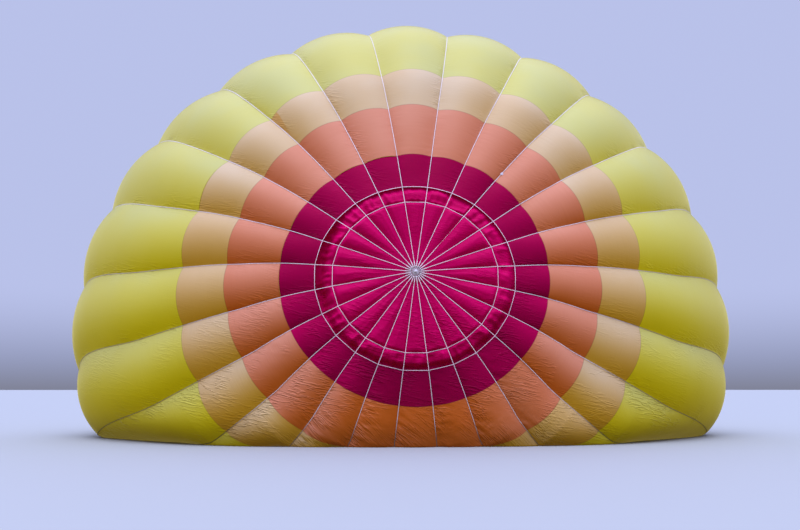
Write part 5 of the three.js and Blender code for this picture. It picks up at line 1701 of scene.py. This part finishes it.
def gas_cylinder(name):
    """A quilted jacket on a steel cylinder, the collar that guards its valve, the valve's stem and
    handwheel, and two straps."""
    low, high = box_of("gas_cylinder_" + name)
    base = np.array([(low[0] + high[0]) / 2, high[1], (low[2] + high[2]) / 2])
    forward = (0, -1, 0)
    cylinder_jacket(name, base)
    foot, top, outer = BOTTLE["foot"] - 0.004, BOTTLE["length"], BOTTLE["collar"]
    collar = [(outer - 0.006, foot), (outer, foot), (outer, top - 0.003), (outer - 0.003, top),
              (outer - 0.006, top - 0.003)]
    dome = [(outer - 0.004, foot), (0.03, foot + 0.012), (0.02, foot + 0.013)]
    guard = [turned(collar, base, forward, 48, loop=True), turned(dome, base, forward, 48)]
    made("cylinder_collar_" + name, guard, COLLAR_PAINT, "balloon", sharp=40)
    stem = [(0.018, foot + 0.008), (0.018, foot + 0.02), (0.012, foot + 0.023), (0.012, WHEEL["foot"])]
    made("cylinder_valve_" + name, [handwheel(base), turned(stem, base, forward, 20)], BRASS, "balloon",
         sharp=40)
    inner, half = BOTTLE["radius"] - 0.0065, STRAP_WIDTH / 2
    bands = [turned([(inner, row - half), (inner + 0.003, row - half), (inner + 0.003, row + half),
                     (inner, row + half)], base, forward, 72, loop=True) for row in STRAP_ROWS]
    straps = made("cylinder_straps_" + name, bands, STRAP_LEATHER, "balloon", sharp=40)
    around = np.tile(np.arange(72) / 72 * 2 * math.pi * BOTTLE["radius"], (8, 1))
    across = np.tile(np.array([0.0, 0.0, STRAP_WIDTH, STRAP_WIDTH])[:, None], (2, 72))
    set_uv(straps, around, across)


for name in CORNERS:
    upright_sleeve(name)
    gas_cylinder(name)

# Studio: a pale floor, a pale sky that is brightest overhead, warm light from below, a broad soft lamp
FLOOR_HALF = 400.0
FLOOR_DROP = 0.002          # of the floor below the ground
LAMP_STRENGTH = 1.9
LAMP_SPREAD = 0.9           # radians across
LAMP_TILT = (math.radians(26), math.radians(-3), 0.0)


def studio():
    corners = [(x * FLOOR_HALF, y * FLOOR_HALF, -FLOOR_DROP) for x, y in ((-1, -1), (1, -1), (1, 1), (-1, 1))]
    floor = mesh_object("floor", corners, [[0, 1, 2, 3]], smooth_faces=False)
    material, tree = new_material("studio floor, pale matt paint")
    add(tree, "surface", add(tree, "BsdfPrincipled", inputs={"Base Color": "#9da1a5", "Roughness": 0.9}))
    floor.data.materials.append(material)
    floor.visible_diffuse = False       # the real ground is dark and sends little light back up
    floor.visible_glossy = False
    world = bpy.data.worlds.new("studio")
    bpy.context.scene.world = world
    world.use_nodes = True
    tree = world.node_tree
    tree.nodes.clear()
    _, depth, height = add(tree, "split", add(tree, "direction"))
    backdrop = add(tree, "range", height, -0.05, 0.12, 0.26, 0.84)
    overhead_share = add(tree, "range", height, 0.45, 0.95, 0.0, 2.0)
    front_share = add(tree, "range", depth, -0.8, 0.1, 0.1, 0.0)
    strength = add(tree, "plus", add(tree, "plus", backdrop, overhead_share), front_share)
    colour = add(tree, "mix", add(tree, "range", height, -0.12, 0.04), "#d2c084", "#c8d1fc")
    add(tree, "surroundings", add(tree, "Background", colour, strength))
    lamp = bpy.data.lights.new("overhead", "SUN")
    lamp.energy = LAMP_STRENGTH
    lamp.angle = LAMP_SPREAD
    lamp.color = linear("#fdfbff")[:3]
    overhead = bpy.data.objects.new("overhead", lamp)
    overhead.rotation_euler = LAMP_TILT
    bpy.context.scene.collection.objects.link(overhead)


studio()
